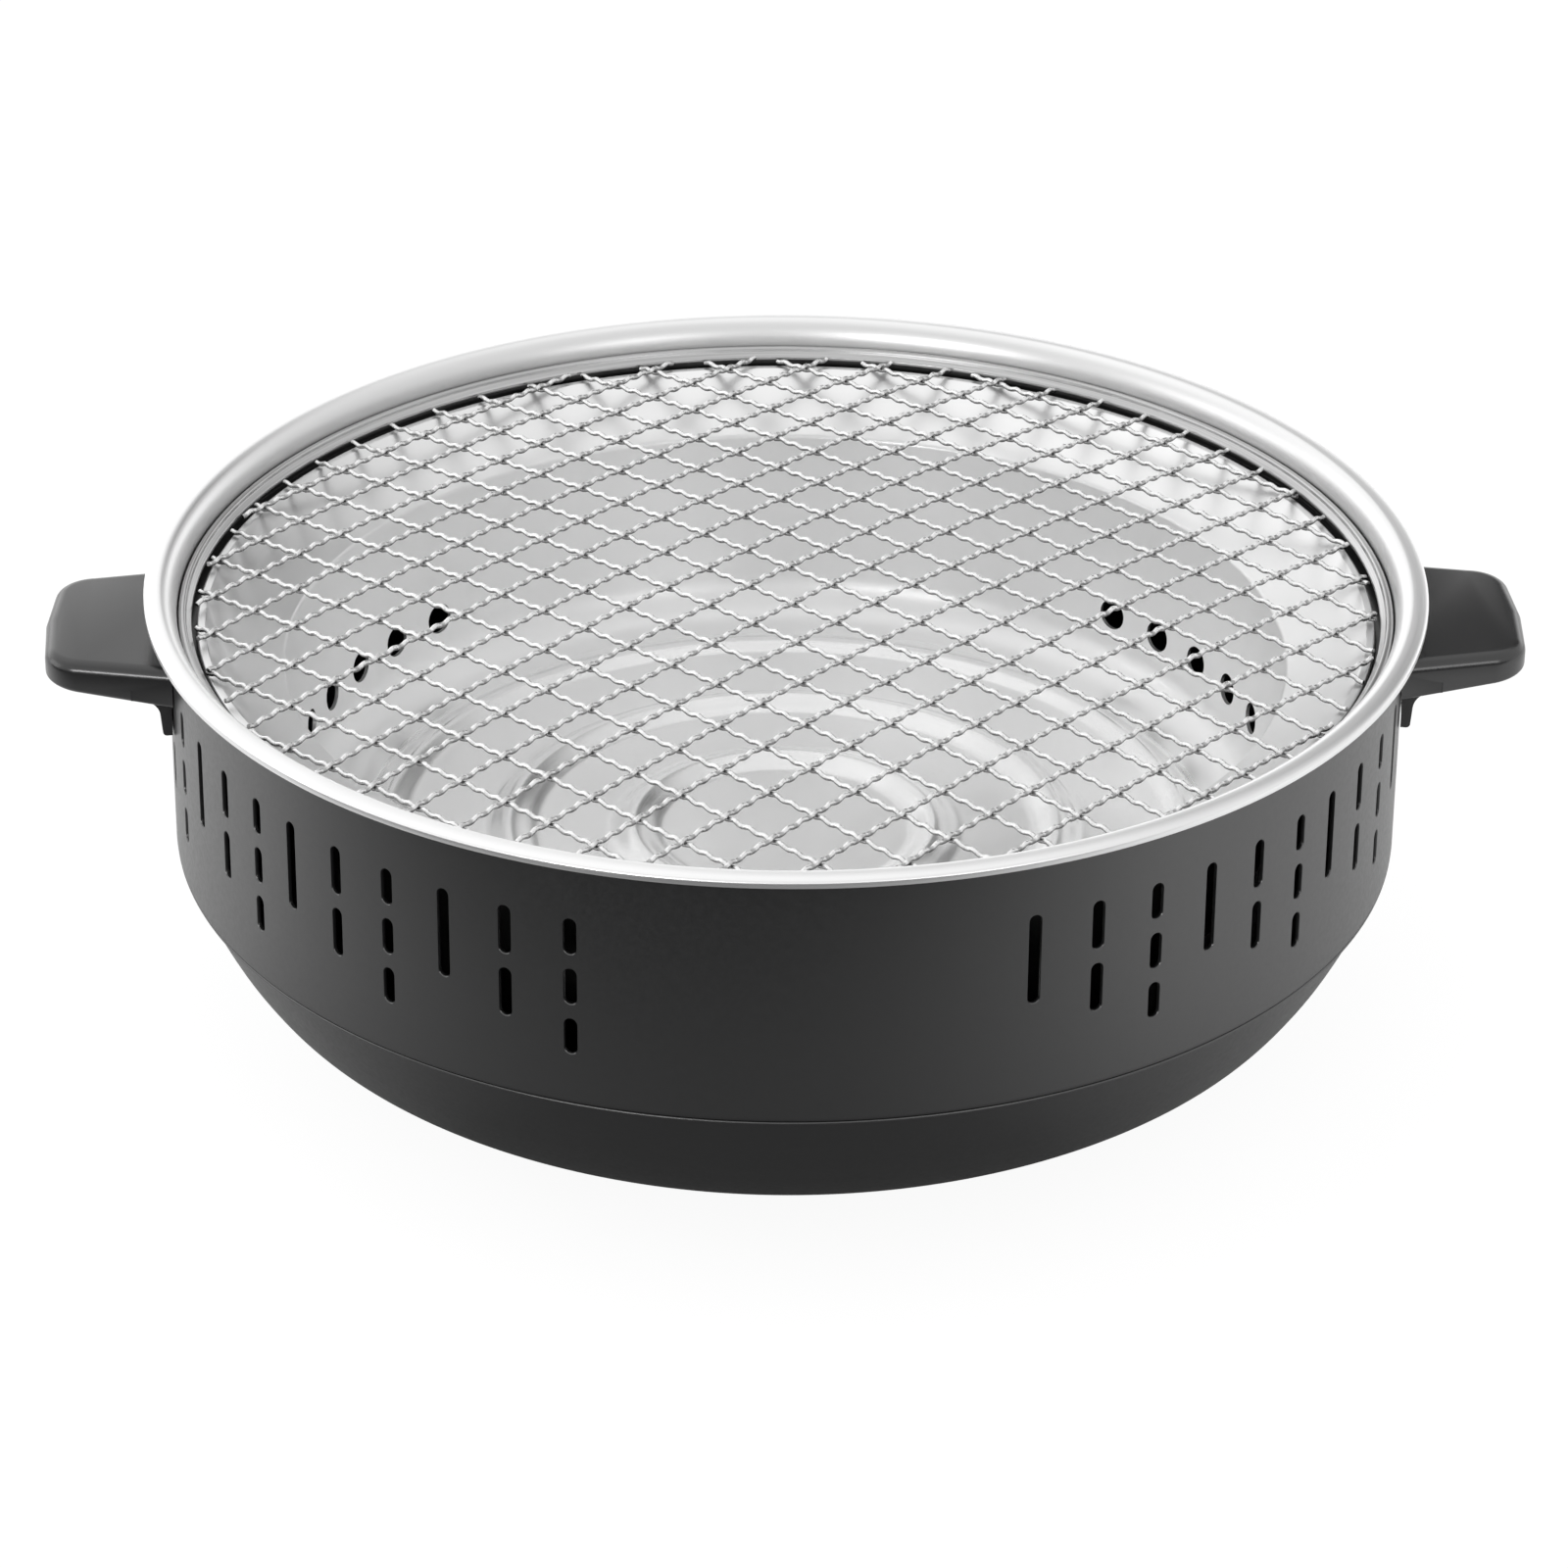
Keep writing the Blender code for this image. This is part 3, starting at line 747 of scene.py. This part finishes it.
def makeBase():
    inset, drop = base["seamRound"]
    start = (collarRadius - inset, wallBottom - drop)
    path = [Vector((collarRadius, collarTop)), Vector((collarRadius, wallBottom))]
    path += smoothed([start, *base["curve"], (base["flatRadius"], baseBottom)])
    path.append(Vector((0, baseBottom)))
    piece = turnedPiece("baseBowl", sheetOutline(path, common["sheet"]))
    bm = bmesh.new()
    for angle in base["footAngles"]:
        circle = arc((0, 0), base["screwHole"], 0, 360, common["holeSteps"])[:-1]
        place = upright(angle, base["footCircle"], baseBottom)
        prism(bm, circle, place, -common["overrun"], common["sheet"] + common["overrun"])
    piece = combined(piece, finished(bm, "baseCuts"))
    dressed(piece, "base_bowl", finishes["black_paint"], "body")


def makeSeamLip():
    lip = base["lip"]
    centre = (wallRadius - lip["inset"], wallBottom - lip["drop"])
    root = collarRadius - common["gap"]
    bulge = arc(centre, lip["radius"], -90, 90, lip["steps"])
    outline = [Vector((root, bulge[0].y)), *bulge, Vector((root, bulge[-1].y))]
    piece = turnedPiece("seamLip", outline)
    dressed(piece, "base_bowl", finishes["black_paint"], "body")


makeBase()
makeSeamLip()
print("base made")


# Rim ring and the support ring inside it

ring = {
    "lipFace": 0.0014,
    "crest": 0.0038,
    "inner": 0.0082,
    "drop": 0.0067,
    "outerSteps": 10,
    "innerSteps": 14,
}
channel = {
    "beadWidth": 0.0019,
    "beadTop": 0.0041,
    "beadRound": 0.0006,
    "crease": 0.0021,
    "creaseTop": 0.0053,
    "creaseRound": 0.0005,
    "opening": 0.0034,
    "edgeTop": 0.0063,
    "edgeLength": 0.0012,
    "topRound": 0.0011,
    "ledgeRound": 0.0012,
    "ledgeInner": 0.0069,
}


def makeRing():
    lipTop = lipPlane + ring["lipFace"]
    crestRadius = ringRadius - ring["crest"]
    innerRadius = ringRadius - ring["inner"]
    path = [Vector((ringRadius, lipPlane)), Vector((ringRadius, lipTop))]
    rise, floor = lipHeight - ring["lipFace"], ringTop - ring["drop"]
    path += arc((crestRadius, lipTop), ring["crest"], 0, 90, ring["outerSteps"], up=rise)[1:]
    across = crestRadius - innerRadius
    path += arc((crestRadius, floor), across, 90, 180, ring["innerSteps"], up=ring["drop"])[1:]
    path.append(Vector((innerRadius, ringBottom)))
    piece = turnedPiece("rimRing", sheetOutline(path, -common["trimSheet"]))
    dressed(piece, "rim_ring", finishes["bright_steel"], "body")


def makeChannel():
    outer = channelRadius
    beadHeight, edgeHeight = lipPlane - channel["beadTop"], lipPlane - channel["edgeTop"]
    corners = [
        (outer - channel["opening"], edgeHeight - channel["edgeLength"]),
        (outer - channel["opening"], edgeHeight, channel["creaseRound"]),
        (outer - channel["crease"], lipPlane - channel["creaseTop"], channel["creaseRound"]),
        (outer - channel["beadWidth"], beadHeight, channel["beadRound"]),
        (outer, beadHeight, channel["topRound"]),
        (outer, channelBottom, channel["ledgeRound"]),
        (outer - channel["ledgeInner"], channelBottom),
    ]
    piece = turnedPiece("supportRing", sheetOutline(rounded(corners), common["sheet"]))
    dressed(piece, "support_ring", finishes["channel_steel"], "body")


makeRing()
makeChannel()
print("rings made")


# Fire bowl

bowl = {
    "hemHeight": 0.0019,
    "hemRound": 0.0008,
    "rimWidth": 0.0023,
    "throat": 0.0224,
    "throatDrop": 0.0117,
    "throatRound": 0.0016,
    "foot": 0.0254,
    "cornerRadius": 0.0125,
    "degreesPerPoint": 6,
    "floorDish": 0.0014,
    "floorSteps": 110,
    # Each floor ring is (radius of its middle, half of its width, height)
    "floorRings": ((0.1055, 0.0058, 0.0021), (0.0723, 0.0070, 0.0027), (0.0396, 0.0070, 0.0027)),
    "ventRadius": 0.00425,
    "ventSteps": 32,
    "ventCut": 0.006,
    "ventHeight": 0.0189,
    "ventCount": 5,
    "ventPitch": 8.0,
    "ventGroups": (0, 117.3, -117.3),
}


def bowlFloor():
    # The floor from its edge to the middle, with its pressed rings
    edge = bowlRadius - bowl["foot"] - bowl["cornerRadius"]
    low = bowlBottom + common["sheet"]
    points = []
    for step in range(bowl["floorSteps"] + 1):
        radius = edge * (1 - step / bowl["floorSteps"])
        height = low + bowl["floorDish"] * (radius / edge) ** 2
        for middle, half, rise in bowl["floorRings"]:
            away = abs(radius - middle) / half
            if away < 1:
                height += rise * (1 + math.cos(math.pi * away)) / 2
        points.append(Vector((radius, height)))
    points[-1].x = 0
    return points


def makeBowl():
    footRadius = bowlRadius - bowl["foot"]
    low = bowlBottom + common["sheet"]
    floor = bowlFloor()
    corners = [
        (bowlRadius, bowlTop - bowl["hemHeight"]),
        (bowlRadius, bowlTop, bowl["hemRound"]),
        (bowlRadius - bowl["rimWidth"], bowlTop, bowl["hemRound"]),
        (bowlRadius - bowl["throat"], bowlTop - bowl["throatDrop"], bowl["throatRound"]),
        (footRadius, floor[0].y, bowl["cornerRadius"]),
        (floor[0].x, floor[0].y),
    ]
    path = rounded(corners, bowl["degreesPerPoint"])[:-1] + floor
    piece = turnedPiece("fireBowl", sheetOutline(path, -common["sheet"]))
    bm = bmesh.new()
    for centre in bowl["ventGroups"]:
        for index in range(bowl["ventCount"]):
            angle = centre + (index - (bowl["ventCount"] - 1) / 2) * bowl["ventPitch"] - 90
            circle = arc((0, 0), bowl["ventRadius"], 0, 360, bowl["ventSteps"])[:-1]
            matrix = outwards(angle, 0, low + bowl["ventHeight"])
            prism(bm, circle, matrix, footRadius - bowl["cornerRadius"], footRadius + bowl["ventCut"])
    piece = combined(piece, finished(bm, "bowlCuts"))
    dressed(piece, "fire_bowl", finishes["bowl_steel"], "bowl")


makeBowl()
print("bowl made")


# Wire grate

def wireSpline(curve, matrix, offset, along, across, sign, spread):
    # One crimped wire. Its crimps bear on the wires that it crosses, with two more between crossings
    half = math.sqrt(grate["radius"] ** 2 - offset**2)
    pitch = grate["pitch"]
    count = max(int(2 * half / pitch * grate["pointsPerCell"]), grate["fewestPoints"])
    row = round((offset - across) / pitch)
    lift = grate["wireRadius"] - grate["kink"]
    middle = bowlTop + grate["restClearance"] + 2 * grate["wireRadius"]
    spline = curve.splines.new("POLY")
    spline.points.add(count)
    for index in range(count + 1):
        distance = -half + 2 * half * index / count
        cell = (distance - along) / pitch
        turns = math.tau * grate["kinksPerCell"] * cell
        wave = sign * (lift + grate["kink"] * math.cos(turns))
        lean = math.sin(turns)
        dome = grate["rise"] * (1 - (distance**2 + offset**2) / grate["radius"] ** 2)
        wander = spread * math.sin(distance / pitch * grate["wander"] + row)
        sideways = offset + grate["sideKink"] * lean + wander
        place = matrix @ Vector((distance, sideways, middle + dome + wave))
        spline.points[index].co = (*place, 1)


def makeGrate():
    draw = random.Random(grate["seed"])
    along, across = grate["offsets"]
    curves = bpy.data.curves.new("wireGrate", "CURVE")
    curves.dimensions = "3D"
    curves.bevel_depth = grate["wireRadius"]
    curves.bevel_resolution = grate["wireResolution"]
    curves.use_fill_caps = True
    # The upper wires run up to the right in front view, and the lower ones across them
    layers = ((grate["turn"], across, along, 1), (grate["turn"] + 90, -along, across, -1))
    for turn, first, other, sign in layers:
        matrix = Matrix.Rotation(math.radians(turn), 4, "Z")
        count = int(grate["radius"] / grate["pitch"]) + 1
        for index in range(-count, count + 1):
            offset = first + grate["pitch"] * index
            if abs(offset) < grate["radius"] - grate["edgeGap"]:
                spread = grate["spread"] * draw.uniform(-1, 1)
                wireSpline(curves, matrix, offset, other, first, sign, spread)
    shape = bpy.data.objects.new("wireGrateCurve", curves)
    bpy.context.scene.collection.objects.link(shape)
    piece = placed("wireGrate", evaluated(shape), grate["sharpAngle"])
    dressed(piece, "mesh_grate", finishes["wire_steel"], "grate")


makeGrate()
print("grate made")


# Handles

handle = {
    "baseWidth": 0.0630,
    "tipWidth": 0.0520,
    "gripHeight": 0.0109,
    "tipRise": 0.0036,
    "bulge": 0.0010,
    "cornerRadius": 0.0105,
    "cornerSpan": (5, 85),
    "cornerSteps": 14,
    "edgeRadius": 0.0030,
    "underEdge": 0.0012,
    "edgeSteps": 6,
    "flangeWidth": 0.0540,
    "flangeThickness": 0.0032,
    "flangeToe": 0.0024,
    "toeRound": 0.0011,
    "flangeSteps": 24,
    "fillet": 0.0050,
    "filletReach": 1.4,
    "overlap": 0.0045,
    "rootAngle": 17.1,
}
seatRadius = wallRadius + common["gap"]


def makeGrip():
    halfTip, halfBase = handle["tipWidth"] / 2, handle["baseWidth"] / 2
    root, tip = seatRadius * math.cos(math.radians(handle["rootAngle"])), gripReach
    centre = (tip - handle["bulge"] - handle["cornerRadius"], halfTip - handle["cornerRadius"])
    upper = arc(centre, handle["cornerRadius"], *handle["cornerSpan"], handle["cornerSteps"])
    lower = [(x, -y) for x, y in reversed(upper)]
    outline = [(root, -halfBase)] + lower + [(tip, 0)] + upper + [(root, halfBase)]
    low = gripTop - handle["gripHeight"]
    bm = bmesh.new()
    prism(bm, outline, Matrix.Identity(4), low, gripTop)
    middle = (low + gripTop) / 2
    for vert in bm.verts:
        if vert.co.z < middle:
            vert.co.z += handle["tipRise"] * max(vert.co.x - seatRadius, 0) / (tip - seatRadius)
    # The upper edge is well rounded and the lower one only broken
    for above, radius in ((True, handle["edgeRadius"]), (False, handle["underEdge"])):
        edges = [edge for edge in bm.edges if all((vert.co.z > middle) == above for vert in edge.verts)]
        edges = [edge for edge in edges if max(vert.co.x for vert in edge.verts) > root + common["gap"]]
        bmesh.ops.bevel(
            bm, geom=edges, offset=radius, segments=handle["edgeSteps"], profile=0.5,
            affect="EDGES", clamp_overlap=True, material=-1,
        )
    return finished(bm, "grip")


def makeFlange():
    low = gripTop - handle["gripHeight"]
    inner, outer = seatRadius, seatRadius + handle["flangeThickness"]
    toe = seatRadius + handle["flangeToe"]
    fillet, top = handle["fillet"], low + handle["overlap"]
    # The grip's underside rises towards its tip, and the fillet ends just inside it
    root = seatRadius * math.cos(math.radians(handle["rootAngle"]))
    end = outer + fillet * handle["filletReach"]
    slope = handle["tipRise"] / (gripReach - root)
    corner = low + slope * (outer - root)
    corners = [
        (inner - common["overrun"], gripBottom),
        (toe, gripBottom, handle["toeRound"]),
        (outer, corner, fillet),
        (end, low + slope * (end - root) + common["gap"] / 2),
        (end, top),
        (inner - common["overrun"], top),
    ]
    outline = rounded(corners)
    halfAngle = math.asin(handle["flangeWidth"] / 2 / seatRadius)
    bm = bmesh.new()
    verts = [bm.verts.new((point.x, 0, point.y)) for point in outline]
    bmesh.ops.rotate(bm, verts=verts, cent=(0, 0, 0), matrix=Matrix.Rotation(-halfAngle, 3, "Z"))
    face = bm.faces.new(verts)
    bmesh.ops.spin(
        bm, geom=[face, *face.edges, *face.verts], cent=(0, 0, 0), axis=(0, 0, 1),
        angle=2 * halfAngle, steps=handle["flangeSteps"],
    )
    return finished(bm, "flange")


def makeHandles():
    grip = combined(makeGrip(), makeFlange(), "UNION")
    low, high = gripBottom - common["overrun"], gripTop + common["overrun"]
    seat = [Vector(point) for point in ((0, low), (seatRadius, low), (seatRadius, high), (0, high))]
    grip = combined(grip, turnedPiece("seatCut", seat))
    grip.name = "handleRight"
    left = copied(grip, "handleLeft", Matrix.Rotation(math.pi, 4, "Z"))
    dressed(grip, "handle_right", finishes["black_plastic"], "body")
    dressed(left, "handle_left", finishes["black_plastic"], "body")


makeHandles()
print("handles made")


# Screws, washers, nuts and feet

screw = {
    "shank": 0.0020,
    "endRound": 0.0005,
    "head": 0.0040,
    "headHeight": 0.0024,
    "headRound": 0.0014,
    "edgeRound": 0.0002,
    "recessDepth": 0.0013,
    "recessReach": 0.00195,
    "recessHalf": 0.000364,
}
nut = {"acrossFlats": 0.0070, "bore": 0.0023, "chamfer": 0.0005, "chamferRise": 0.0003}
washer = {"outer": 0.0045, "inner": 0.0023, "height": 0.0010, "innerRound": 0.0002, "outerRound": 0.0003}
foot = {
    "radius": 0.0090,
    "taper": 0.0006,
    "toeRound": 0.0010,
    "topRound": 0.0006,
    "recess": 0.0048,
    "recessDepth": 0.0034,
    "recessRound": 0.0004,
    "bore": 0.0023,
    "boreRound": 0.0002,
    # How far above the recess the outline starts, on the bore
    "boreStart": 0.0005,
}


def makeScrew(name, length):
    # The head hangs below height 0, with a cross recess, and the shank runs up from it
    head, height, shank = screw["head"], screw["headHeight"], screw["shank"]
    corners = [
        (0, length), (shank, length, screw["endRound"]), (shank, 0, screw["edgeRound"]),
        (head, 0, screw["edgeRound"]), (head, -height, screw["headRound"]), (0, -height),
    ]
    piece = turnedPiece(name, rounded(corners), common["fineSteps"])
    bm = bmesh.new()
    wide, thin = screw["recessReach"], screw["recessHalf"]
    arm = [(wide, -thin), (wide, thin), (thin, thin)]
    cross = [(c * x - s * y, s * x + c * y) for c, s in ((1, 0), (0, 1), (-1, 0), (0, -1)) for x, y in arm]
    prism(bm, cross, Matrix.Identity(4), -height - common["overrun"], -height + screw["recessDepth"])
    return combined(piece, finished(bm, "recess"))


def makeNut(name, height):
    inside, outside = nut["bore"], nut["acrossFlats"] / math.sqrt(3)
    bm = bmesh.new()
    prism(bm, arc((0, 0), outside, 0, 360, 6)[:-1], Matrix.Identity(4), 0, height)
    chamfer, rise = nut["chamfer"], nut["chamferRise"]
    corners = [
        (inside, 0), (outside - chamfer, 0), (outside, rise), (outside, height - rise),
        (outside - chamfer, height), (inside, height),
    ]
    turned = turnedPiece("nutTurn", [Vector(point) for point in corners], common["fineSteps"])
    return combined(finished(bm, name), turned, "INTERSECT")


def makeWasher(name):
    inner, outer, height = washer["inner"], washer["outer"], washer["height"]
    innerRound, outerRound = washer["innerRound"], washer["outerRound"]
    outline = rounded([
        (inner, height / 2), (inner, 0, innerRound), (outer, 0, outerRound),
        (outer, height, outerRound), (inner, height, innerRound), (inner, height / 2),
    ])
    return turnedPiece(name, outline[:-1], common["fineSteps"])


def makeFoot(name, height):
    bore, recess, depth = foot["bore"], foot["recess"], foot["recessDepth"]
    start = depth + foot["boreStart"]
    outline = rounded([
        (bore, start), (bore, depth, foot["boreRound"]), (recess, depth), (recess, 0, foot["recessRound"]),
        (foot["radius"] - foot["taper"], 0, foot["toeRound"]), (foot["radius"], height, foot["topRound"]),
        (bore, height, foot["boreRound"]), (bore, start),
    ])
    return turnedPiece(name, outline[:-1], common["fineSteps"])


def reachAlong(node, matrix):
    # The least and the greatest height of a solid along local Z
    inverse = matrix.inverted()
    heights = [(inverse @ vert.co).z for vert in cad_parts[node].data.vertices]
    return min(heights), max(heights)


def makeHandleFasteners():
    zinc = finishes["zinc"]
    for side, start in (("right", 0), ("left", 180)):
        for number, turn in ((1, -wall["screwAngle"]), (2, wall["screwAngle"])):
            angle, suffix = start + turn, f"{side.title()}{number}"
            screwNode, washerNode = f"handle_screw_{side}_{number}", f"handle_washer_{side}_{number}"
            middle = (boxes[screwNode][0].z + boxes[screwNode][1].z) / 2
            low, high = reachAlong(screwNode, outwards(angle))
            piece = makeScrew("handleScrew" + suffix, high - low - screw["headHeight"])
            piece.data.transform(outwards(angle, low + screw["headHeight"], middle))
            dressed(piece, screwNode, zinc, "body")
            piece = makeWasher("handleWasher" + suffix)
            piece.data.transform(outwards(angle, reachAlong(washerNode, outwards(angle))[0], middle))
            dressed(piece, washerNode, zinc, "body")


def makeFeet():
    zinc, rubber = finishes["zinc"], finishes["rubber"]
    for number, angle in enumerate(base["footAngles"], start=1):
        low, high = boxes[f"foot_screw_{number}"]
        piece = makeScrew(f"footScrew{number}", high.z - low.z - screw["headHeight"])
        piece.data.transform(upright(angle, base["footCircle"], low.z + screw["headHeight"]))
        dressed(piece, f"foot_screw_{number}", zinc, "body")
        low, high = boxes[f"foot_nut_{number}"]
        piece = makeNut(f"footNut{number}", high.z - low.z)
        piece.data.transform(upright(angle, base["footCircle"], low.z))
        dressed(piece, f"foot_nut_{number}", zinc, "body")
        piece = makeFoot(f"foot{number}", boxes[f"foot_{number}"][1].z)
        piece.data.transform(upright(angle, base["footCircle"]))
        dressed(piece, f"foot_{number}", rubber, "body")


makeHandleFasteners()
makeFeet()
print("fasteners and feet made")


# Camera, light and floor

view = {
    "distance": 1.5023,
    "elevation": 26.196,
    "azimuth": 1.75,
    "pitch": -2.038,
    "yaw": -0.007,
    "roll": -0.438,
    "lens": 133.6,
    "sensor": 36.0,
    "reach": 50,
}
# Each part of the studio has its level, and the ranges of direction over which it starts or ends
studio = {
    "level": 0.84,
    "front": {"level": 0.14, "forward": (0.30, 0.80), "height": (-0.05, 0.22)},
    "window": {"level": 0.25, "direction": (-0.78, 0.58, 0.22), "spread": (0.35, 0.95)},
    "corner": {
        "level": 0.05,
        "back": (0.30, 0.60),
        "left": (0.02, 0.10),
        "right": (0.48, 0.66),
        "low": (0.22, 0.32),
        "high": (0.56, 0.74),
    },
    "backLow": {
        "level": 0.45,
        "back": (0.35, 0.75),
        "height": (0.20, 0.36),
        # From straight back to the right, with the factor there and here
        "right": (0.0, 0.35, 1.0, 1.5),
    },
}
lamps = {
    "top": {"size": (1.5, 1.3), "place": (-0.2, 0.35, 1.5), "power": 1.0},
    "front": {"size": (0.6, 0.2), "place": (-0.68, -1.21, 0.42), "power": 4.0},
    "left": {"size": (0.9, 0.7), "place": (-1.45, 0.10, 0.45), "power": 1.6},
    "right": {"size": (0.5, 0.4), "place": (0.66, -1.21, 0.45), "power": 1.5},
    "back": {"size": (1.1, 0.5), "place": (-0.85, 1.05, 0.55), "power": 0.7},
}
floorTone = {
    "size": 12,
    # What the camera sees: a little of the light, for the shadow, and the glow of a lit backdrop
    "seen": 0.13,
    "glow": 0.92,
    # What the grill reflects: painted shade, dark towards the camera, and a painted shadow close to the
    # front of the base
    "front": 0.08,
    "back": 1.0,
    "from": -0.38,
    "to": -0.10,
    "slant": 0.35,
    "near": 0.30,
    "nearPlace": (-0.01, -0.12),
    "nearRadius": 0.08,
    "farRadius": 0.24,
}


def makeCamera():
    camera = bpy.data.cameras.new("photoCamera")
    camera.lens = view["lens"]
    camera.sensor_width = view["sensor"]
    camera.clip_end = view["reach"]
    holder = bpy.data.objects.new("photoCamera", camera)
    bpy.context.scene.collection.objects.link(holder)
    elevation, azimuth = math.radians(view["elevation"]), math.radians(view["azimuth"])
    away, height = view["distance"] * math.cos(elevation), view["distance"] * math.sin(elevation)
    place = Vector((-away * math.sin(azimuth), -away * math.cos(azimuth), height))
    turn = Matrix.Rotation(-azimuth, 4, "Z") @ Matrix.Rotation(math.pi / 2 - elevation, 4, "X")
    turn = turn @ Matrix.Rotation(-math.radians(view["yaw"]), 4, "Y")
    turn = turn @ Matrix.Rotation(math.radians(view["pitch"]), 4, "X")
    turn = turn @ Matrix.Rotation(-math.radians(view["roll"]), 4, "Z")
    holder.matrix_world = Matrix.Translation(place + Vector((0, 0, lipPlane))) @ turn
    bpy.context.scene.camera = holder


def makeLamp(name, settings):
    lamp = bpy.data.lights.new(name + "Lamp", "AREA")
    lamp.shape = "RECTANGLE"
    lamp.size, lamp.size_y = settings["size"]
    lamp.energy = settings["power"]
    holder = bpy.data.objects.new(name + "Lamp", lamp)
    place = Vector(settings["place"])
    aim = Vector((0, 0, lipPlane)) - place
    holder.matrix_world = Matrix.Translation(place) @ aim.to_track_quat("-Z", "Y").to_matrix().to_4x4()
    bpy.context.scene.collection.objects.link(holder)


def makeWorld():
    world = bpy.data.worlds.new("studio")
    world.use_nodes = True
    bpy.context.scene.world = world
    paint = Nodes(world.node_tree)
    x, y, z = paint.apart(paint.node("ShaderNodeTexCoord", {}, {}, "Generated"))
    # The camera's side is dark near the horizon
    front = studio["front"]
    dark = (y * -1.0).ramp(*front["forward"]) * (1 - z.ramp(*front["height"]))
    # A large window lights the object from the left, behind it
    window = studio["window"]
    a, b, c = window["direction"]
    lit = (x * a + y * b + z * c).ramp(*window["spread"])
    level = studio["level"] * (1 - dark) + front["level"] * dark + window["level"] * lit
    # The right side behind the object is dark, low down
    corner = studio["corner"]
    dim = y.ramp(*corner["back"]) * x.ramp(*corner["left"]) * (1 - x.ramp(*corner["right"]))
    dim = dim * z.ramp(*corner["low"]) * (1 - z.ramp(*corner["high"]))
    level = level - (studio["level"] - corner["level"]) * dim
    # Close to the horizon the back is bright, most of all on the right
    low = studio["backLow"]
    bright = low["level"] * y.ramp(*low["back"]) * (1 - z.ramp(*low["height"])) * x.ramp(*low["right"])
    level = level + bright
    camera = paint.node("ShaderNodeLightPath", {}, {}, "Is Camera Ray")
    strength = level * (1 - camera) + camera
    paint.put(paint.tree.nodes["Background"], {"Color": grey(1), "Strength": strength})


def makeFloor():
    bm = bmesh.new()
    bmesh.ops.create_grid(bm, x_segments=1, y_segments=1, size=floorTone["size"])
    floor = finished(bm, "floor")
    paint = Paint("floorWhite", Roughness=0.9, Specular_IOR_Level=0.0, Emission_Strength=1.0)
    camera = paint.node("ShaderNodeLightPath", {}, {}, "Is Camera Ray")
    x, y, z = paint.apart(paint.place())
    # In what the grill reflects: painted shade towards the camera and a painted shadow near the front of
    # the base
    across, forward = x - floorTone["nearPlace"][0], y - floorTone["nearPlace"][1]
    radius = (across * across + forward * forward) ** 0.5
    away = radius.ramp(floorTone["nearRadius"], floorTone["farRadius"], floorTone["near"], 1.0)
    along = y + x * floorTone["slant"]
    tone = along.ramp(floorTone["from"], floorTone["to"], floorTone["front"], floorTone["back"]) * away
    paint.done(
        Base_Color=paint.mix(camera, paint.mix(tone, grey(0), grey(1)), grey(floorTone["seen"])),
        Emission_Color=paint.mix(camera, grey(0), grey(floorTone["glow"])),
    )
    floor.data.materials.append(paint.material)


makeCamera()
for lampName, lampSettings in lamps.items():
    makeLamp(lampName, lampSettings)
makeWorld()
makeFloor()
bpy.context.scene.view_settings.view_transform = "Standard"
print("camera, light and floor made")
